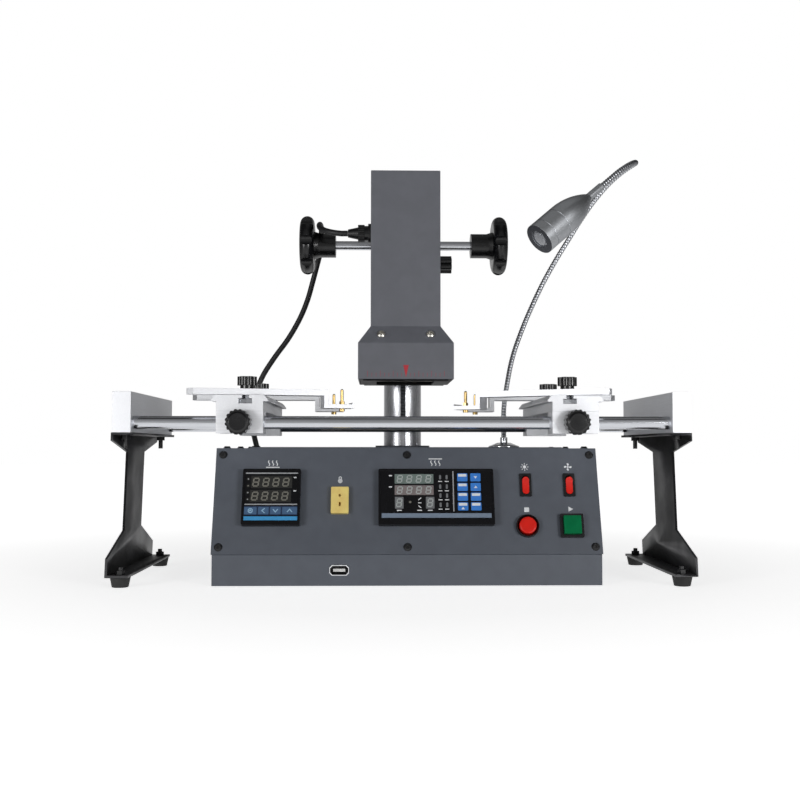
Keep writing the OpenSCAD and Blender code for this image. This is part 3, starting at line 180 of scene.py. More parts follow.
along_x, along_y, along_z = (1, 40, 40), (40, 1, 40), (40, 40, 1)
coarse, medium, fine = (10, 10, 10), (12, 12, 12), (20, 20, 20)
slate = powder_coat("slate_paint", srgb(88, 93, 102))
head_grey = powder_coat("head_paint", srgb(106, 108, 115))
black_paint = powder_coat("black_paint", srgb(10, 10, 11), Specular_IOR_Level=0.12)
leg_paint = powder_coat("leg_paint", srgb(46, 46, 49))
aluminium_y = metal("aluminium_lengthwise", srgb(226, 227, 230), 0.48, 0.6, along_y)
aluminium_x = metal("aluminium_crosswise", srgb(228, 229, 232), 0.48, 0.6, along_x)
rod_steel = metal("rod_steel", srgb(205, 207, 212), 0.14, 0.22, along_x, streak=0.04)
column_steel = metal("column_steel", srgb(212, 213, 217), 0.24, 0.32, along_z, streak=0.04)
dark_steel = metal("dark_steel", srgb(96, 98, 102), 0.3, 0.45, along_x)
bolt_steel = metal("bolt_steel", srgb(170, 172, 176), 0.25, 0.4, medium)
tray_steel = metal("tray_steel", srgb(180, 182, 186), 0.3, 0.45, along_x)
chrome = metal("chrome", srgb(222, 223, 226), 0.05, 0.12, coarse, streak=0.03)
neck_steel = metal("neck_steel", srgb(202, 204, 208), 0.26, 0.36, fine, streak=0.04)
# Darker steel for the gooseneck's grooves, as painted shade between the turns
neck_groove_painted_shade = metal("neck_groove_painted_shade", srgb(142, 144, 149), 0.34, 0.46, fine, streak=0.04)
lamp_metal = metal("lamp_metal", srgb(204, 207, 211), 0.34, 0.42, fine, streak=0.02)
screw_steel = metal("screw_steel", srgb(214, 211, 203), 0.26, 0.38, medium)
brass = metal("brass", srgb(206, 176, 118), 0.24, 0.38, along_z)
black_plastic = moulded("black_plastic", srgb(15, 15, 17), 0.2, 0.3)
# Satin black plastic, also used as painted shade inside the data port
black_satin_and_painted_shade = moulded("black_satin_and_painted_shade", srgb(15, 15, 17), 0.36, 0.5)
yellow_plastic = moulded("yellow_plastic", srgb(255, 222, 132), 0.42, 0.55)
red_plastic = moulded("red_plastic", srgb(234, 36, 24), 0.3, 0.42, Specular_IOR_Level=0.3)
green_plastic = moulded("green_plastic", srgb(0, 116, 68), 0.34, 0.46, Specular_IOR_Level=0.12)
rubber = moulded("rubber", srgb(24, 24, 24), 0.6, 0.78)
cable_skin = moulded("cable_skin", srgb(22, 22, 24), 0.42, 0.56)
ceramic = moulded("ceramic", srgb(226, 222, 212), 0.35, 0.55)
white_plastic = moulded("white_plastic", srgb(232, 232, 230), 0.35, 0.5)
white_ink = printed("white_ink", srgb(240, 242, 244))
red_ink = printed("red_ink", srgb(190, 48, 58))
tick_ink = printed("tick_ink", srgb(150, 82, 92))
fascia_black = moulded("fascia_black", srgb(13, 13, 16), 0.24, 0.34, Specular_IOR_Level=0.2)
smoked_window = moulded("smoked_window", srgb(44, 44, 42), 0.1, 0.18)
unlit_segment = printed("unlit_segment", srgb(124, 122, 113), 0.35)
pale_line = printed("pale_line", srgb(168, 170, 173))
navy_foil = printed("navy_foil", srgb(22, 42, 72), 0.35)
key_foil = printed("key_foil", srgb(72, 102, 138), 0.35)
pale_blue = printed("pale_blue", srgb(160, 198, 226), 0.35)
strip_blue = printed("strip_blue", srgb(70, 160, 218), 0.35)
green_window = moulded("green_window", srgb(118, 132, 127), 0.16, 0.26)
pink_window = moulded("pink_window", srgb(134, 124, 124), 0.16, 0.26)
grey_window = moulded("grey_window", srgb(122, 124, 127), 0.16, 0.26)
window_segment = printed("window_segment", srgb(176, 182, 180), 0.35)
key_blue = printed("key_blue", srgb(62, 134, 222), 0.35)
strip_grey = printed("strip_grey", srgb(124, 139, 158), 0.4)
lamp_ring = metal("lamp_ring", srgb(92, 94, 100), 0.34, 0.46, fine)
lamp_lens = moulded("lamp_lens", srgb(186, 188, 192), 0.1, 0.2, Metallic=0.6)


# Shapes

def smooth_route(points, steps):
    """Points on a smooth curve through the given ones"""
    last = len(points) - 1
    curve = []
    for i in range(last):
        a, b, c, d = (points[min(max(k, 0), last)] for k in (i - 1, i, i + 1, i + 2))
        for k in range(steps):
            t = k / steps
            curve.append(
                (2 * b + (c - a) * t + (2 * a - 5 * b + 4 * c - d) * t * t
                 + (3 * b - a - 3 * c + d) * t ** 3) / 2
            )
    return curve + [points[last]]


def route_length(points):
    return sum((b - a).length for a, b in zip(points, points[1:]))


def link(name, mesh, materials):
    obj = bpy.data.objects.new(name, mesh)
    bpy.context.scene.collection.objects.link(obj)
    for material in materials:
        mesh.materials.append(material)
    return obj


def tube(name, path, radii, around, material):
    """Round tube along a path, with one radius for each of its points"""
    off_path = Vector((0.3, 1, 0.2))
    shape = bmesh.new()
    last = len(path) - 1
    headings = [(path[min(i + 1, last)] - path[max(i - 1, 0)]).normalized() for i in range(last + 1)]
    side = headings[0].cross(off_path).normalized()
    rings = []
    for point, heading, radius in zip(path, headings, radii):
        side = (side - side.dot(heading) * heading).normalized()
        other = heading.cross(side)
        angles = [2 * math.pi * k / around for k in range(around)]
        rings.append([
            shape.verts.new(point + radius * (math.cos(a) * side + math.sin(a) * other)) for a in angles
        ])
    for lower, upper in zip(rings, rings[1:]):
        for k in range(around):
            after = (k + 1) % around
            shape.faces.new((lower[k], lower[after], upper[after], upper[k])).smooth = True
    shape.faces.new(list(reversed(rings[0])))
    shape.faces.new(rings[-1])
    mesh = bpy.data.meshes.new(name)
    shape.to_mesh(mesh)
    shape.free()
    return link(name, mesh, [material])


def rounded(width, height, radius, steps=5):
    """Outline of a rounded rectangle about its middle"""
    points = []
    for corner, (x, y) in enumerate(((1, 1), (-1, 1), (-1, -1), (1, -1))):
        for k in range(steps + 1):
            angle = math.pi / 2 * (corner + k / steps)
            points.append((
                x * (width / 2 - radius) + radius * math.cos(angle),
                y * (height / 2 - radius) + radius * math.sin(angle),
            ))
    return points


def disc(radius, steps=28):
    return [
        (radius * math.cos(2 * math.pi * k / steps), radius * math.sin(2 * math.pi * k / steps))
        for k in range(steps)
    ]


def bar(start, end, width):
    """Outline of a straight stroke"""
    run = Vector(end) - Vector(start)
    half = Vector((-run.y, run.x)).normalized() * width / 2
    return [
        tuple(Vector(start) - half), tuple(Vector(end) - half),
        tuple(Vector(end) + half), tuple(Vector(start) + half),
    ]


def ribbon(points, width):
    """Outline of a stroke along a line of points"""
    sharpest_mitre = 0.4
    points = [Vector(point) for point in points]
    last = len(points) - 1
    left, right = [], []
    for i, point in enumerate(points):
        before = point - points[i - 1] if i else points[1] - point
        after = points[i + 1] - point if i < last else before
        along = (before.normalized() + after.normalized()).normalized()
        across = Vector((-along.y, along.x))
        reach = width / 2 / max(sharpest_mitre, along.dot(after.normalized()))
        left.append(tuple(point + across * reach))
        right.append(tuple(point - across * reach))
    return right + left[::-1]


def arc(radius, start, end, steps=20):
    """Points on an arc between two angles in degrees"""
    angles = [math.radians(start + (end - start) * k / steps) for k in range(steps + 1)]
    return [(radius * math.cos(a), radius * math.sin(a)) for a in angles]


class Inlay:
    """Flat pieces on a face, in millimetres right, up and out from the middle of that face"""

    def __init__(self):
        self.shape = bmesh.new()
        self.finishes = []

    def add(self, finish, outline, top, at=(0, 0)):
        if finish not in self.finishes:
            self.finishes.append(finish)
        index = self.finishes.index(finish)
        lower, upper = (
            [self.shape.verts.new(((x + at[0]) * mm, (y + at[1]) * mm, z * mm)) for x, y in outline]
            for z in (0, top)
        )
        made = [self.shape.faces.new(list(reversed(lower))), self.shape.faces.new(upper)]
        for k in range(len(outline)):
            after = (k + 1) % len(outline)
            made.append(self.shape.faces.new((lower[k], lower[after], upper[after], upper[k])))
        for face in made:
            face.material_index = index

    def build(self, name, place, body):
        mesh = bpy.data.meshes.new(name)
        self.shape.to_mesh(mesh)
        self.shape.free()
        obj = link(name, mesh, self.finishes)
        obj.matrix_world = place
        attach(obj, body)


def bevel(obj, width):
    """Rounds a piece's sharp edges, with the width in millimetres"""
    step = obj.modifiers.new("edges", "BEVEL")
    step.width = width * mm
    step.segments = 2
    step.limit_method = "ANGLE"
    step.angle_limit = math.radians(32)
    for polygon in obj.data.polygons:
        polygon.use_smooth = True
    flat = obj.modifiers.new("flat_shading", "WEIGHTED_NORMAL")
    flat.mode = "FACE_AREA"
    flat.weight = 80
    flat.keep_sharp = False


# Cable from the head's connector to the base

cable_d = 8 * mm
cable_points = [Vector(point) * mm for point in (
    (-78.8, -20, 466), (-83.5, -20, 466), (-88.5, -20, 466), (-100.6, -17.6, 468), (-110.8, -10.8, 472),
    (-117.6, -0.5, 477.5), (-120, 11.5, 483), (-120.3, 26, 488), (-120.3, 43, 491.5), (-120, 61, 491.5),
    (-120.5, 80, 486.5), (-121.5, 97, 476.5), (-124, 110, 462.5), (-128.5, 117, 447), (-136, 120, 419),
    (-143.6, 120, 392), (-155, 120, 364), (-172, 120, 334), (-192, 119, 306), (-209.5, 118, 278),
    (-219.5, 117.5, 252), (-225.5, 117, 226), (-225.5, 117, 203), (-222, 117, 186), (-219, 117, 174),
    (-218.2, 117, 171),
)]


def make_cable():
    path = smooth_route(cable_points, 6)
    cable = tube("heater_cable", path, [cable_d / 2] * len(path), 20, cable_skin)
    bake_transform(cable)
    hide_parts("head_cable")


make_cable()


# Gooseneck of wound steel strip

neck_d = 8 * mm
neck_pitch = 4.2 * mm
neck_groove = 0.7 * mm
neck_sides = 18
neck_points = [Vector(point) * mm for point in (
    (0, 0, 0.3), (0, 0, 20), (0.5, 0, 45), (5.5, 0, 81), (13.4, 0, 119), (25.5, -1, 155),
    (40.3, -3, 191), (58, -7, 229), (77.5, -15, 265), (95.5, -24, 295), (112.5, -33, 323),
    (130.5, -42.5, 349), (149.5, -53, 371), (166, -65, 385), (176.5, -78, 391), (179.5, -90, 391.8),
    (176.3, -102, 389.5), (168.2, -112, 384.7), (158.2, -120.6, 377.8), (146.6, -128, 369),
    (133.3, -133.7, 357.3), (120, -139.4, 345.5),
)]


def resample(points, spacing):
    """Points at even distances along a path"""
    total = route_length(points)
    count = round(total / spacing)
    made, walked, i = [], 0.0, 0
    for k in range(count + 1):
        target = total * k / count
        while i < len(points) - 2 and walked + (points[i + 1] - points[i]).length < target:
            walked += (points[i + 1] - points[i]).length
            i += 1
        step = points[i + 1] - points[i]
        made.append(points[i] + step * min(1.0, (target - walked) / step.length))
    return made


def make_gooseneck():
    low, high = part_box("lamp_base")
    foot = Vector(((low.x + high.x) / 2, (low.y + high.y) / 2, high.z))
    profile = (1.0, 0.5, 0.0, 0.5)
    path = resample(smooth_route([foot + point for point in neck_points], 12), neck_pitch / len(profile))
    radii = [neck_d / 2 - neck_groove * profile[k % len(profile)] for k in range(len(path))]
    neck = tube("wound_gooseneck", path, radii, neck_sides, neck_steel)
    neck.data.materials.append(neck_groove_painted_shade)
    # The faces at each groove take the darker steel: painted shade between the turns
    for polygon in neck.data.polygons:
        polygon.material_index = int(polygon.index // neck_sides % len(profile) in (0, len(profile) - 1))
    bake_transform(neck)
    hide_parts("gooseneck")


make_gooseneck()


# Finish of the CAD pieces: material and edge rounding in millimetres

finishes = {
    "base_tray": (slate, 0.5), "base_cover": (slate, 0.6), "front_panel": (slate, 0.6),
    "top_plate": (slate, 0.5), "case_screws": (black_satin_and_painted_shade, 0.25), "preheater_tray": (tray_steel, 0.3),
    "preheater_tiles": (ceramic, 0.8), "lower_controller": (fascia_black, 0.5),
    "upper_controller": (fascia_black, 0.5), "sensor_socket": (yellow_plastic, 0.35),
    "usb_port": (chrome, 0.0), "control_bezels": (black_plastic, 0.5),
    "light_rocker": (red_plastic, 0.5), "fan_rocker": (red_plastic, 0.5),
    "stop_button": (red_plastic, 0.7), "start_button": (green_plastic, 0.5),
    "power_inlet": (black_satin_and_painted_shade, 0.4), "column": (column_steel, 0.5), "column_rack": (dark_steel, 0.0),
    "column_flange": (slate, 0.4), "end_blocks": (aluminium_y, 0.6), "guide_rods": (rod_steel, 0.6),
    "legs": (leg_paint, 0.5), "leg_bolts": (black_satin_and_painted_shade, 0.3), "jig_feet": (rubber, 0.8),
    "head_shell": (head_grey, 0.9), "heater_plate": (ceramic, 0.6), "heater_rim": (black_paint, 0.5),
    "lift_block": (head_grey, 1.0), "head_screws": (screw_steel, 0.2), "fan_frame": (black_satin_and_painted_shade, 0.4),
    "fan_guard": (chrome, 0.0), "fan_rotor": (black_satin_and_painted_shade, 0.25), "pinion_shaft": (rod_steel, 0.0),
    "handwheels": (black_plastic, 1.6), "lock_knob": (black_plastic, 0.8),
    "head_socket": (black_plastic, 0.4), "base_gland": (black_plastic, 0.5),
    "lamp_base": (chrome, 0.5), "lamp_head": (lamp_metal, 0.3),
}
for side in sides:
    finishes[side + "_carriage"] = (aluminium_x, 0.5)
    finishes[side + "_rail"] = (aluminium_y, 0.35)
    finishes[side + "_clamp_knob"] = (black_plastic, 0.6)
for corner in corners:
    finishes[corner + "_stud"] = (bolt_steel, 0.3)
    finishes[corner + "_arm"] = (aluminium_x, 0.4)
    finishes[corner + "_knob"] = (black_plastic, 0.7)


def dress(node, material, edge):
    """Gives a CAD piece its material, and rounds its edges on the way to the render"""
    obj = nodes[node]
    obj.data.materials.clear()
    obj.data.materials.append(material)
    if not edge:
        return
    weld = obj.modifiers.new("weld", "WELD")
    weld.merge_threshold = 0.005 * mm
    flat = obj.modifiers.new("flat_faces", "DECIMATE")
    flat.decimate_type = "DISSOLVE"
    flat.angle_limit = math.radians(0.4)
    flat.delimit = {"MATERIAL"}
    bevel(obj, edge)


for node, (material, edge) in finishes.items():
    dress(node, material, edge)


def islands(mesh):
    """Groups of polygons that hang together, as lists of indices"""
    parent = {}

    def root(key):
        while parent.setdefault(key, key) != key:
            key = parent[key]
        return key

    keys = [tuple(round(c, 6) for c in vertex.co) for vertex in mesh.vertices]
    for polygon in mesh.polygons:
        first = root(keys[polygon.vertices[0]])
        for v in polygon.vertices[1:]:
            parent[root(keys[v])] = first
    groups = {}
    for polygon in mesh.polygons:
        groups.setdefault(root(keys[polygon.vertices[0]]), []).append(polygon.index)
    return list(groups.values())


def second_finish(node, material, chosen):
    """Gives some of a CAD piece's faces another material"""
    mesh = nodes[node].data
    mesh.materials.append(material)
    for polygon in mesh.polygons:
        if chosen(polygon):
            polygon.material_index = len(mesh.materials) - 1


def brass_pins():
    widest_pin = 12 * mm
    for corner in corners:
        mesh = nodes[corner + "_arm"].data
        pins = set()
        for group in islands(mesh):
            xs = [mesh.vertices[v].co.x for p in group for v in mesh.polygons[p].vertices]
            if max(xs) - min(xs) < widest_pin:
                pins.update(group)
        second_finish(corner + "_arm", brass, lambda polygon: polygon.index in pins)


def data_jack():
    """Black painted shade inside the data port's bright shell, and a white tongue in it"""
    low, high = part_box("usb_port")
    middle = (low + high) / 2
    tongue_reach = Vector((7.6, 0, 1.9)) * mm
    tongue_root = high.y - middle.y - mm

    def at(polygon):
        return nodes["usb_port"].matrix_world @ polygon.center - middle

    def on_tongue(polygon):
        place = at(polygon)
        return abs(place.x) < tongue_reach.x and abs(place.z) < tongue_reach.z and place.y < tongue_root

    def inside(polygon):
        place, facing = at(polygon), polygon.normal
        faces_in = place.x * facing.x + place.z * facing.z < -mm
        return faces_in or (facing.y < -0.9 and place.y > 0)

    # Painted shade: the port's inward faces and back wall are made black
    second_finish("usb_port", black_satin_and_painted_shade, inside)
    second_finish("usb_port", white_plastic, on_tongue)


lamp_aim = Vector((-0.713, -0.303, -0.632)).normalized()


def lamp_front():
    """Dark front ring and a lens in it"""
    ring_depth, lens_depth = 0.3 * mm, 4 * mm
    obj = nodes["lamp_head"]
    front = max((obj.matrix_world @ vertex.co).dot(lamp_aim) for vertex in obj.data.vertices)

    def depth(polygon):
        return front - (obj.matrix_world @ polygon.center).dot(lamp_aim)

    def faces_out(polygon):
        return polygon.normal.dot(lamp_aim) > 0.98

    def on_ring(polygon):
        return faces_out(polygon) and depth(polygon) < ring_depth

    def on_lens(polygon):
        return faces_out(polygon) and ring_depth < depth(polygon) < lens_depth

    second_finish("lamp_head", lamp_ring, on_ring)
    second_finish("lamp_head", lamp_lens, on_lens)


brass_pins()
data_jack()
lamp_front()


# Faces of the controllers, with places and heights in millimetres

ink_top = 0.15
strip_top = 0.2
light_top = 0.3
pill_top = 0.4


def panel_axes():
    """Right, up the slope of the front panel, and out of it"""
    faces = [face for face in nodes["front_panel"].data.polygons if face.normal.y < -0.5 < face.normal.z]
    out = max(faces, key=lambda face: face.area).normal.copy()
    right = Vector((1, 0, 0))
    return right, out.cross(right), out


def spread(node, axis):
    """Least and greatest place of a piece along an axis"""
    obj = nodes[node]
    places = [(obj.matrix_world @ vertex.co).dot(axis) for vertex in obj.data.vertices]
    return min(places), max(places)


def panel_place(right_at, up_at, out_at):
    """Frame on the front panel at three distances along its axes"""
    axes = panel_axes()
    place = Matrix([list(axis) for axis in axes]).transposed().to_4x4()
    place.translation = sum((axis * at for axis, at in zip(axes, (right_at, up_at, out_at))), Vector())
    return place


def fascia_place(node):
    """Frame at the middle of a controller's front, on the floor of its recess"""
    right, up, out = panel_axes()
    faces = nodes[node].data.polygons
    fronts = {round(face.center.dot(out), 5) for face in faces if face.normal.dot(out) > 0.99}
    return panel_place(sum(spread(node, right)) / 2, sum(spread(node, up)) / 2, sorted(fronts)[-2])


def digit(face, finish, at, width, height, top):
    """Figure eight of seven slanted strokes"""
    stroke, gap = 0.2 * width, 0.06 * width
    slant = math.tan(math.radians(9))
    x, y = (width - stroke) / 2, (height - stroke) / 2
    strokes = [((-x + gap, level), (x - gap, level)) for level in (-y, 0, y)]
    for edge in (-x, x):
        strokes += [((edge, gap), (edge, y - gap)), ((edge, -y + gap), (edge, -gap))]
    for ends in strokes:
        leaning = [(px + slant * py, py) for px, py in ends]
        face.add(finish, bar(*leaning, stroke), top, at)


def digit_row(face, finish, middle, pitch, size, top):
    """Four figures side by side"""
    for k in range(4):
        digit(face, finish, (middle[0] + (k - 1.5) * pitch, middle[1]), *size, top)


def make_lower_face():
    """Two rows of figures with lights and captions beside them, four keys and a strip"""
    line_rows = (30.3, -9.8)
    displays = ((0, 18.7), (-0.9, 0.8))
    figure_shift, figure_pitch, figure_size = -0.8, 12.4, (8.2, 11.6)
    light_column, light_rows, dim_row = -29, (22.8, 13.9, 5.2, -3.4), 13.9
    caption_column, caption_rows = 29, (24.7, 7.4)
    key_row, strip_row = -17.9, -27.6
    key_edges = ((-32.6, -17.2), (-15.4, -2.4), (-0.6, 12.4), (14.2, 32.6))
    cycle = [arc(2.6, 0, 355), [(-1.3, -0.8), (0, 0.9), (1.3, -0.8)]]
    left_mark = [[(1.6, 3), (-1.8, 0), (1.6, -3)]]
    down_mark = [[(-3, 1.8), (0, -1.8), (3, 1.8)]]
    up_mark = [[(-3, -1.8), (0, 1.8), (3, -1.8)]]
    window_top, figure_top, key_top, mark_top = 0.12, 0.2, 0.5, 0.6

    face = Inlay()
    for y in line_rows:
        face.add(pale_line, rounded(65, 1.5, 0.3), ink_top, (0, y))
    for x, y in displays:
        face.add(smoked_window, rounded(51, 15.6, 0.6), window_top, (x, y))
        digit_row(face, unlit_segment, (x + figure_shift, y), figure_pitch, figure_size, figure_top)
    for y in light_rows:
        face.add(smoked_window, disc(2.1), light_top, (light_column, y))
        face.add(unlit_segment if y == dim_row else pale_line, disc(0.8), pill_top, (light_column, y))
    for y in caption_rows:
        face.add(white_ink, rounded(3.4, 1.4, 0.3), ink_top, (caption_column, y))
    face.add(navy_foil, rounded(66, 11.8, 0.4), ink_top, (0, key_row))
    for (left, right), strokes in zip(key_edges, (cycle, left_mark, down_mark, up_mark)):
        middle = ((left + right) / 2, key_row)
        face.add(key_foil, rounded(right - left, 9.4, 1), key_top, middle)
        for stroke in strokes:
            face.add(pale_blue, ribbon(stroke, 1.2), mark_top, middle)
    face.add(strip_blue, rounded(66, 5, 0.3), strip_top, (0, strip_row))
    face.build("lower_controller_face", fascia_place("lower_controller"), "root")


def make_upper_face():
    """Two rows of figures over two single ones, lights with captions, two columns of keys and a strip"""
    displays = ((22.9, green_window), (8.3, pink_window))
    display_column, figure_pitch, figure_size = -27.5, 11.9, (7, 10)
    tag_column, tag_lift = -57, 4.2
    single_columns, single_row, single_size = (-46.2, -7.8), -7.9, (7, 11)
    caption_row, curve_column = -17.6, -21
    slants = (((-22.5, -4.5), (-19, -1.5)), ((-22.8, -8), (-18.6, -8)), ((-22.5, -11.5), (-19, -14.5)))
    dot_place = (-32.6, -7)
    light_columns, light_rows, light_caption_drop = (5.1, 13.3), (25, 12.8, 1.2, -10.7), 5.4
    line_place, strip_place = (21.4, 6.9), (0, -24.2)
    key_columns, key_rows = (33, 49.4), (24.8, 12.3, -0.2, -12.7)
    up_mark, down_mark = [(-2.2, -1.4), (2.2, -1.4), (0, 1.8)], [(-2.2, 1.4), (0, -1.8), (2.2, 1.4)]
    word_lift, mark_drop = 2.6, 2.4
    figure_top, key_top, mark_top = 0.25, 0.6, 0.7

    face = Inlay()
    for y, window in displays:
        face.add(window, rounded(48.5, 12.4, 0.6), ink_top, (display_column, y))
        digit_row(face, window_segment, (display_column, y), figure_pitch, figure_size, figure_top)
        face.add(white_ink, rounded(4, 1.6, 0.3), ink_top, (tag_column, y + tag_lift))
    for x in single_columns:
        face.add(grey_window, rounded(10.6, 15, 0.6), ink_top, (x, single_row))
        digit(face, window_segment, (x, single_row), *single_size, figure_top)
        face.add(white_ink, rounded(6, 1.3, 0.3), ink_top, (x, caption_row))
    for start, end in slants:
        face.add(white_ink, bar(start, end, 1.0), ink_top)
    face.add(unlit_segment, disc(1.5), light_top, dot_place)
    face.add(white_ink, rounded(6, 1.3, 0.3), ink_top, (curve_column, caption_row))
    for x in light_columns:
        for y in light_rows:
            face.add(grey_window, rounded(2.6, 5.8, 1.2), pill_top, (x, y))
            face.add(white_ink, rounded(5, 1, 0.2), ink_top, (x, y - light_caption_drop))
    face.add(pale_line, rounded(1.4, 52, 0.2), ink_top, line_place)
    for column, x in enumerate(key_columns):
        for row, y in enumerate(key_rows):
            face.add(key_blue, rounded(12.8, 10.4, 1.2), key_top, (x, y))
            if column and row < 2:
                face.add(white_ink, up_mark if row else down_mark, mark_top, (x, y))
            else:
                face.add(white_ink, rounded(10.4, 3.4, 0.5), mark_top, (x, y + word_lift))
            if not column and row == 3:
                face.add(white_ink, up_mark, mark_top, (x, y - mark_drop))
    face.add(strip_grey, rounded(136, 5.8, 0.3), strip_top, strip_place)
    face.build("upper_controller_face", fascia_place("upper_controller"), "root")


make_lower_face()
make_upper_face()


# Pictograms on the panel and marks on the head, in place of words

sign_top = 0.12


def wave(x):
    swing, foot, rise = 0.9, -3.4, 0.85
    return [(x + swing * math.sin(math.pi * k / 4), foot + rise * k) for k in range(9)]


def heat_sign(plate_y):
    plate_half = 8.5
    plate = bar((-plate_half, plate_y), (plate_half, plate_y), 1.3)
    return [ribbon(wave(x), 1.1) for x in (-5, 0, 5)] + [plate]


def thermometer_sign():
    half, foot, shoulder = 1.5, -1.8, 4
    dome = [(x, y + shoulder) for x, y in arc(half, 0, 180, 8)]
    glass = [(half, foot)] + dome + [(-half, foot)]
    return [ribbon(glass, 0.9), disc(2.9, 20), bar((0, -2), (0, 3), 1)]


def lamp_sign():
    turns = [math.pi / 4 * k for k in range(8)]
    rays = [[(r * math.cos(a), r * math.sin(a)) for r in (3.2, 5)] for a in turns]
    return [disc(2.1, 20)] + [bar(start, end, 0.9) for start, end in rays]


def fan_sign():
    blade = [(1, 0), (3, -1.7), (4.9, -0.6), (4.7, 1.2), (3, 0.9)]
    turns = [math.pi / 2 * k for k in range(4)]
    blades = [
        [(x * math.cos(a) - y * math.sin(a), x * math.sin(a) + y * math.cos(a)) for x, y in blade]
        for a in turns
    ]
    return [disc(1.2, 16)] + blades


def make_pictograms():
    right, up, out = panel_axes()
    signs = {
        "lower_controller": (heat_sign(-5.6), 10), "upper_controller": (heat_sign(5.6), 10),
        "sensor_socket": (thermometer_sign(), 9), "light_rocker": (lamp_sign(), 14),
        "fan_rocker": (fan_sign(), 14), "stop_button": ([rounded(6, 6, 0.4)], 10.5),
        "start_button": ([[(-2.6, -3.2), (3.4, 0), (-2.6, 3.2)]], 10.5),
    }
    for node, (outlines, gap) in signs.items():
        sign = Inlay()
        for outline in outlines:
            sign.add(white_ink, outline, sign_top)
        place = panel_place(
            sum(spread(node, right)) / 2, spread(node, up)[1] + gap * mm, spread("front_panel", out)[1]
        )
        sign.build(node + "_sign", place, "root")


def make_head_marks():
    """Red pointer at the middle of the skirt's lower edge, and ticks to both sides of it"""
    pointer = [(0, 2.4), (3.6, 18.6), (-3.6, 18.6)]
    tick_pitch, tick_width, tick_top = 5.6, 0.7, 0.1
    foot, short_end, long_end = 3.4, 8.4, 11
    each_side, long_every = 9, 3

    low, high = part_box("head_shell")
    marks = Inlay()
    marks.add(red_ink, pointer, sign_top)
    for k in range(-each_side, each_side + 1):
        if k:
            x, end = k * tick_pitch, short_end if k % long_every else long_end
            marks.add(tick_ink, bar((x, foot), (x, end), tick_width), tick_top)
    place = Matrix.Rotation(math.pi / 2, 4, "X")
    place.translation = ((low.x + high.x) / 2, low.y, low.z)
    marks.build("head_marks", place, "head")


make_pictograms()
make_head_marks()


# Floor, background and lights

def combine(tree, operation, first, second):
    """Two values put together by a math node"""
    made = tree.nodes.new("ShaderNodeMath")
    made.operation = operation
    tree.links.new(first, made.inputs[0])
    tree.links.new(second, made.inputs[1])
    return made.outputs["Value"]


def either(tree, *names):
    """One for rays of any of the kinds that are named"""
    path = tree.nodes.new("ShaderNodeLightPath")
    found = path.outputs[names[0]]
    for name in names[1:]:
        found = combine(tree, "MAXIMUM", found, path.outputs[name])
    return found


def make_floor():
    """Pale floor with the object's shadow, white further out, and dimmer there in mirror images"""
    size = 9.0
    shape = bmesh.new()
    bmesh.ops.create_grid(shape, x_segments=1, y_segments=1, size=size)
    mesh = bpy.data.meshes.new("floor")
    shape.to_mesh(mesh)
    shape.free()
    paper = Finish("floor_paper", srgb(238, 238, 238)).mottle(0.01, 3).gloss(0.8, 0.9, 20)
    tree = paper.tree
    coords = paper.node("ShaderNodeTexCoord")
    away = paper.node("ShaderNodeVectorMath", Vector=coords.outputs["Object"])
    away.operation = "LENGTH"

    def level(kinds, near, far, inner, outer):
        lift = paper.node(
            "ShaderNodeMapRange", Value=away.outputs["Value"],
            From_Min=near, From_Max=far, To_Min=inner, To_Max=outer,
        )
        return combine(tree, "MULTIPLY", either(tree, *kinds), lift.outputs["Result"])

    direct = level(("Is Camera Ray", "Is Transmission Ray"), near=0.4, far=1.2, inner=0.74, outer=1.0)
    mirrored = level(("Is Glossy Ray",), near=0.6, far=1.6, inner=0.85, outer=0.25)
    tree.links.new(combine(tree, "MAXIMUM", direct, mirrored), paper.shader.inputs["Emission Strength"])
    paper.shader.inputs["Emission Color"].default_value = (1, 1, 1, 1)
    link("floor", mesh, [paper.material])


def ramp(tree, value, levels):
    """Grey levels along a value from 0 to 1"""
    made = tree.nodes.new("ShaderNodeValToRGB")
    tree.links.new(value, made.inputs["Fac"])
    stops = made.color_ramp.elements
    while len(stops) < len(levels):
        stops.new(0.5)
    for stop, (place, level) in zip(stops, levels):
        stop.position = place
        stop.color = (level, level, level, 1)
    return made.outputs["Color"]


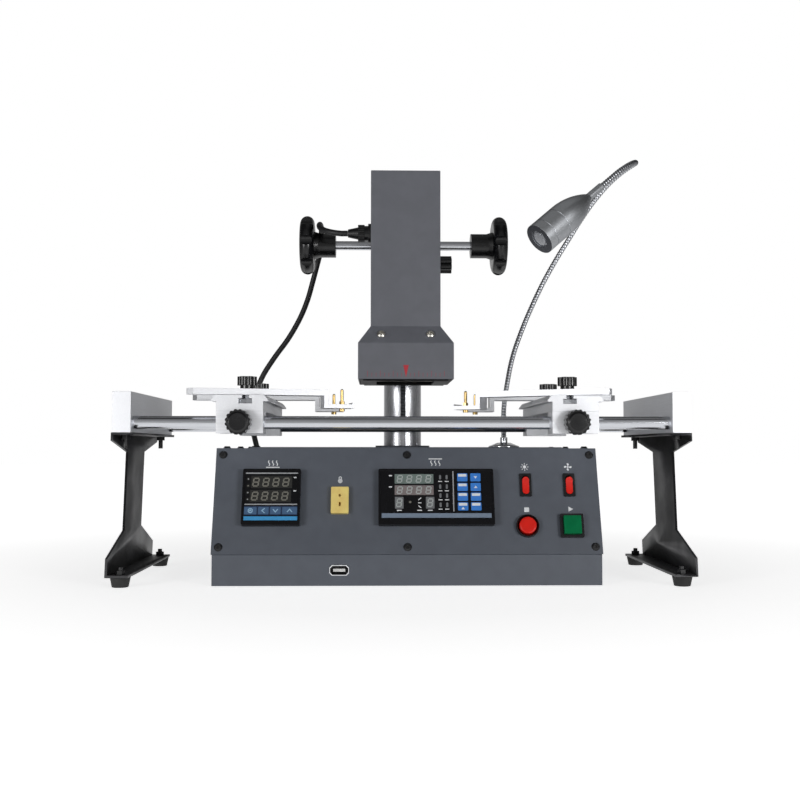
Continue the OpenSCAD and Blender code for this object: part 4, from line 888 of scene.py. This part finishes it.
def make_world():
    """White backdrop in the view, a dim studio in mirror images, and light from low around"""
    world = bpy.data.worlds.new("studio")
    bpy.context.scene.world = world
    world.use_nodes = True
    tree = world.node_tree
    coords = tree.nodes.new("ShaderNodeTexCoord")
    split = tree.nodes.new("ShaderNodeSeparateXYZ")
    tree.links.new(coords.outputs["Generated"], split.inputs["Vector"])
    spans = {}
    for axis in "YZ":
        span = tree.nodes.new("ShaderNodeMapRange")
        span.inputs["From Min"].default_value = -1.0
        tree.links.new(split.outputs[axis], span.inputs["Value"])
        spans[axis] = span.outputs["Result"]
    ambient = tree.nodes["Background"]
    low_light = ramp(tree, spans["Z"], ((0.5, 0.42), (0.6, 0.24), (0.75, 0.06), (1.0, 0.04)))
    tree.links.new(low_light, ambient.inputs["Color"])
    around = ramp(
        tree, spans["Y"],
        ((0.0, 0.45), (0.05, 0.5), (0.08, 1.0), (0.17, 1.0), (0.26, 0.2),
         (0.6, 0.12), (0.9, 0.3), (0.985, 0.6), (1.0, 1.0)),
    )
    height = ramp(tree, spans["Z"], ((0.0, 1.0), (0.62, 1.0), (0.75, 0.3), (1.0, 0.3)))
    studio = tree.nodes.new("ShaderNodeMixRGB")
    studio.blend_type = "MULTIPLY"
    studio.inputs["Fac"].default_value = 1.0
    tree.links.new(around, studio.inputs["Color1"])
    tree.links.new(height, studio.inputs["Color2"])
    backdrop = tree.nodes.new("ShaderNodeBackground")
    plain = tree.nodes.new("ShaderNodeMixRGB")
    tree.links.new(either(tree, "Is Camera Ray", "Is Transmission Ray"), plain.inputs["Fac"])
    tree.links.new(studio.outputs["Color"], plain.inputs["Color1"])
    plain.inputs["Color2"].default_value = (1, 1, 1, 1)
    tree.links.new(plain.outputs["Color"], backdrop.inputs["Color"])
    mix = tree.nodes.new("ShaderNodeMixShader")
    tree.links.new(either(tree, "Is Camera Ray", "Is Glossy Ray", "Is Transmission Ray"), mix.inputs["Fac"])
    tree.links.new(ambient.outputs["Background"], mix.inputs[1])
    tree.links.new(backdrop.outputs["Background"], mix.inputs[2])
    tree.links.new(mix.outputs["Shader"], tree.nodes["World Output"].inputs["Surface"])


def area_light(name, place, target, size, power):
    data = bpy.data.lights.new(name, "AREA")
    data.shape = "RECTANGLE"
    data.size, data.size_y = size
    data.energy = power
    lamp = bpy.data.objects.new(name, data)
    bpy.context.scene.collection.objects.link(lamp)
    lamp.location = place
    lamp.rotation_euler = (Vector(target) - Vector(place)).to_track_quat("-Z", "Y").to_euler()


make_floor()
make_world()
aim = (0, 0, 0.25)
area_light("left_softbox", place=(-1.6, -1.85, 0.32), target=aim, size=(0.7, 0.55), power=16)
area_light("right_softbox", place=(1.4, -2.0, 0.32), target=aim, size=(0.7, 0.55), power=17)
area_light("top_softbox", place=(0.1, 0.1, 2.3), target=(0, 0, 0.2), size=(2.0, 1.4), power=1.6)
bpy.context.scene.view_settings.view_transform = "Standard"
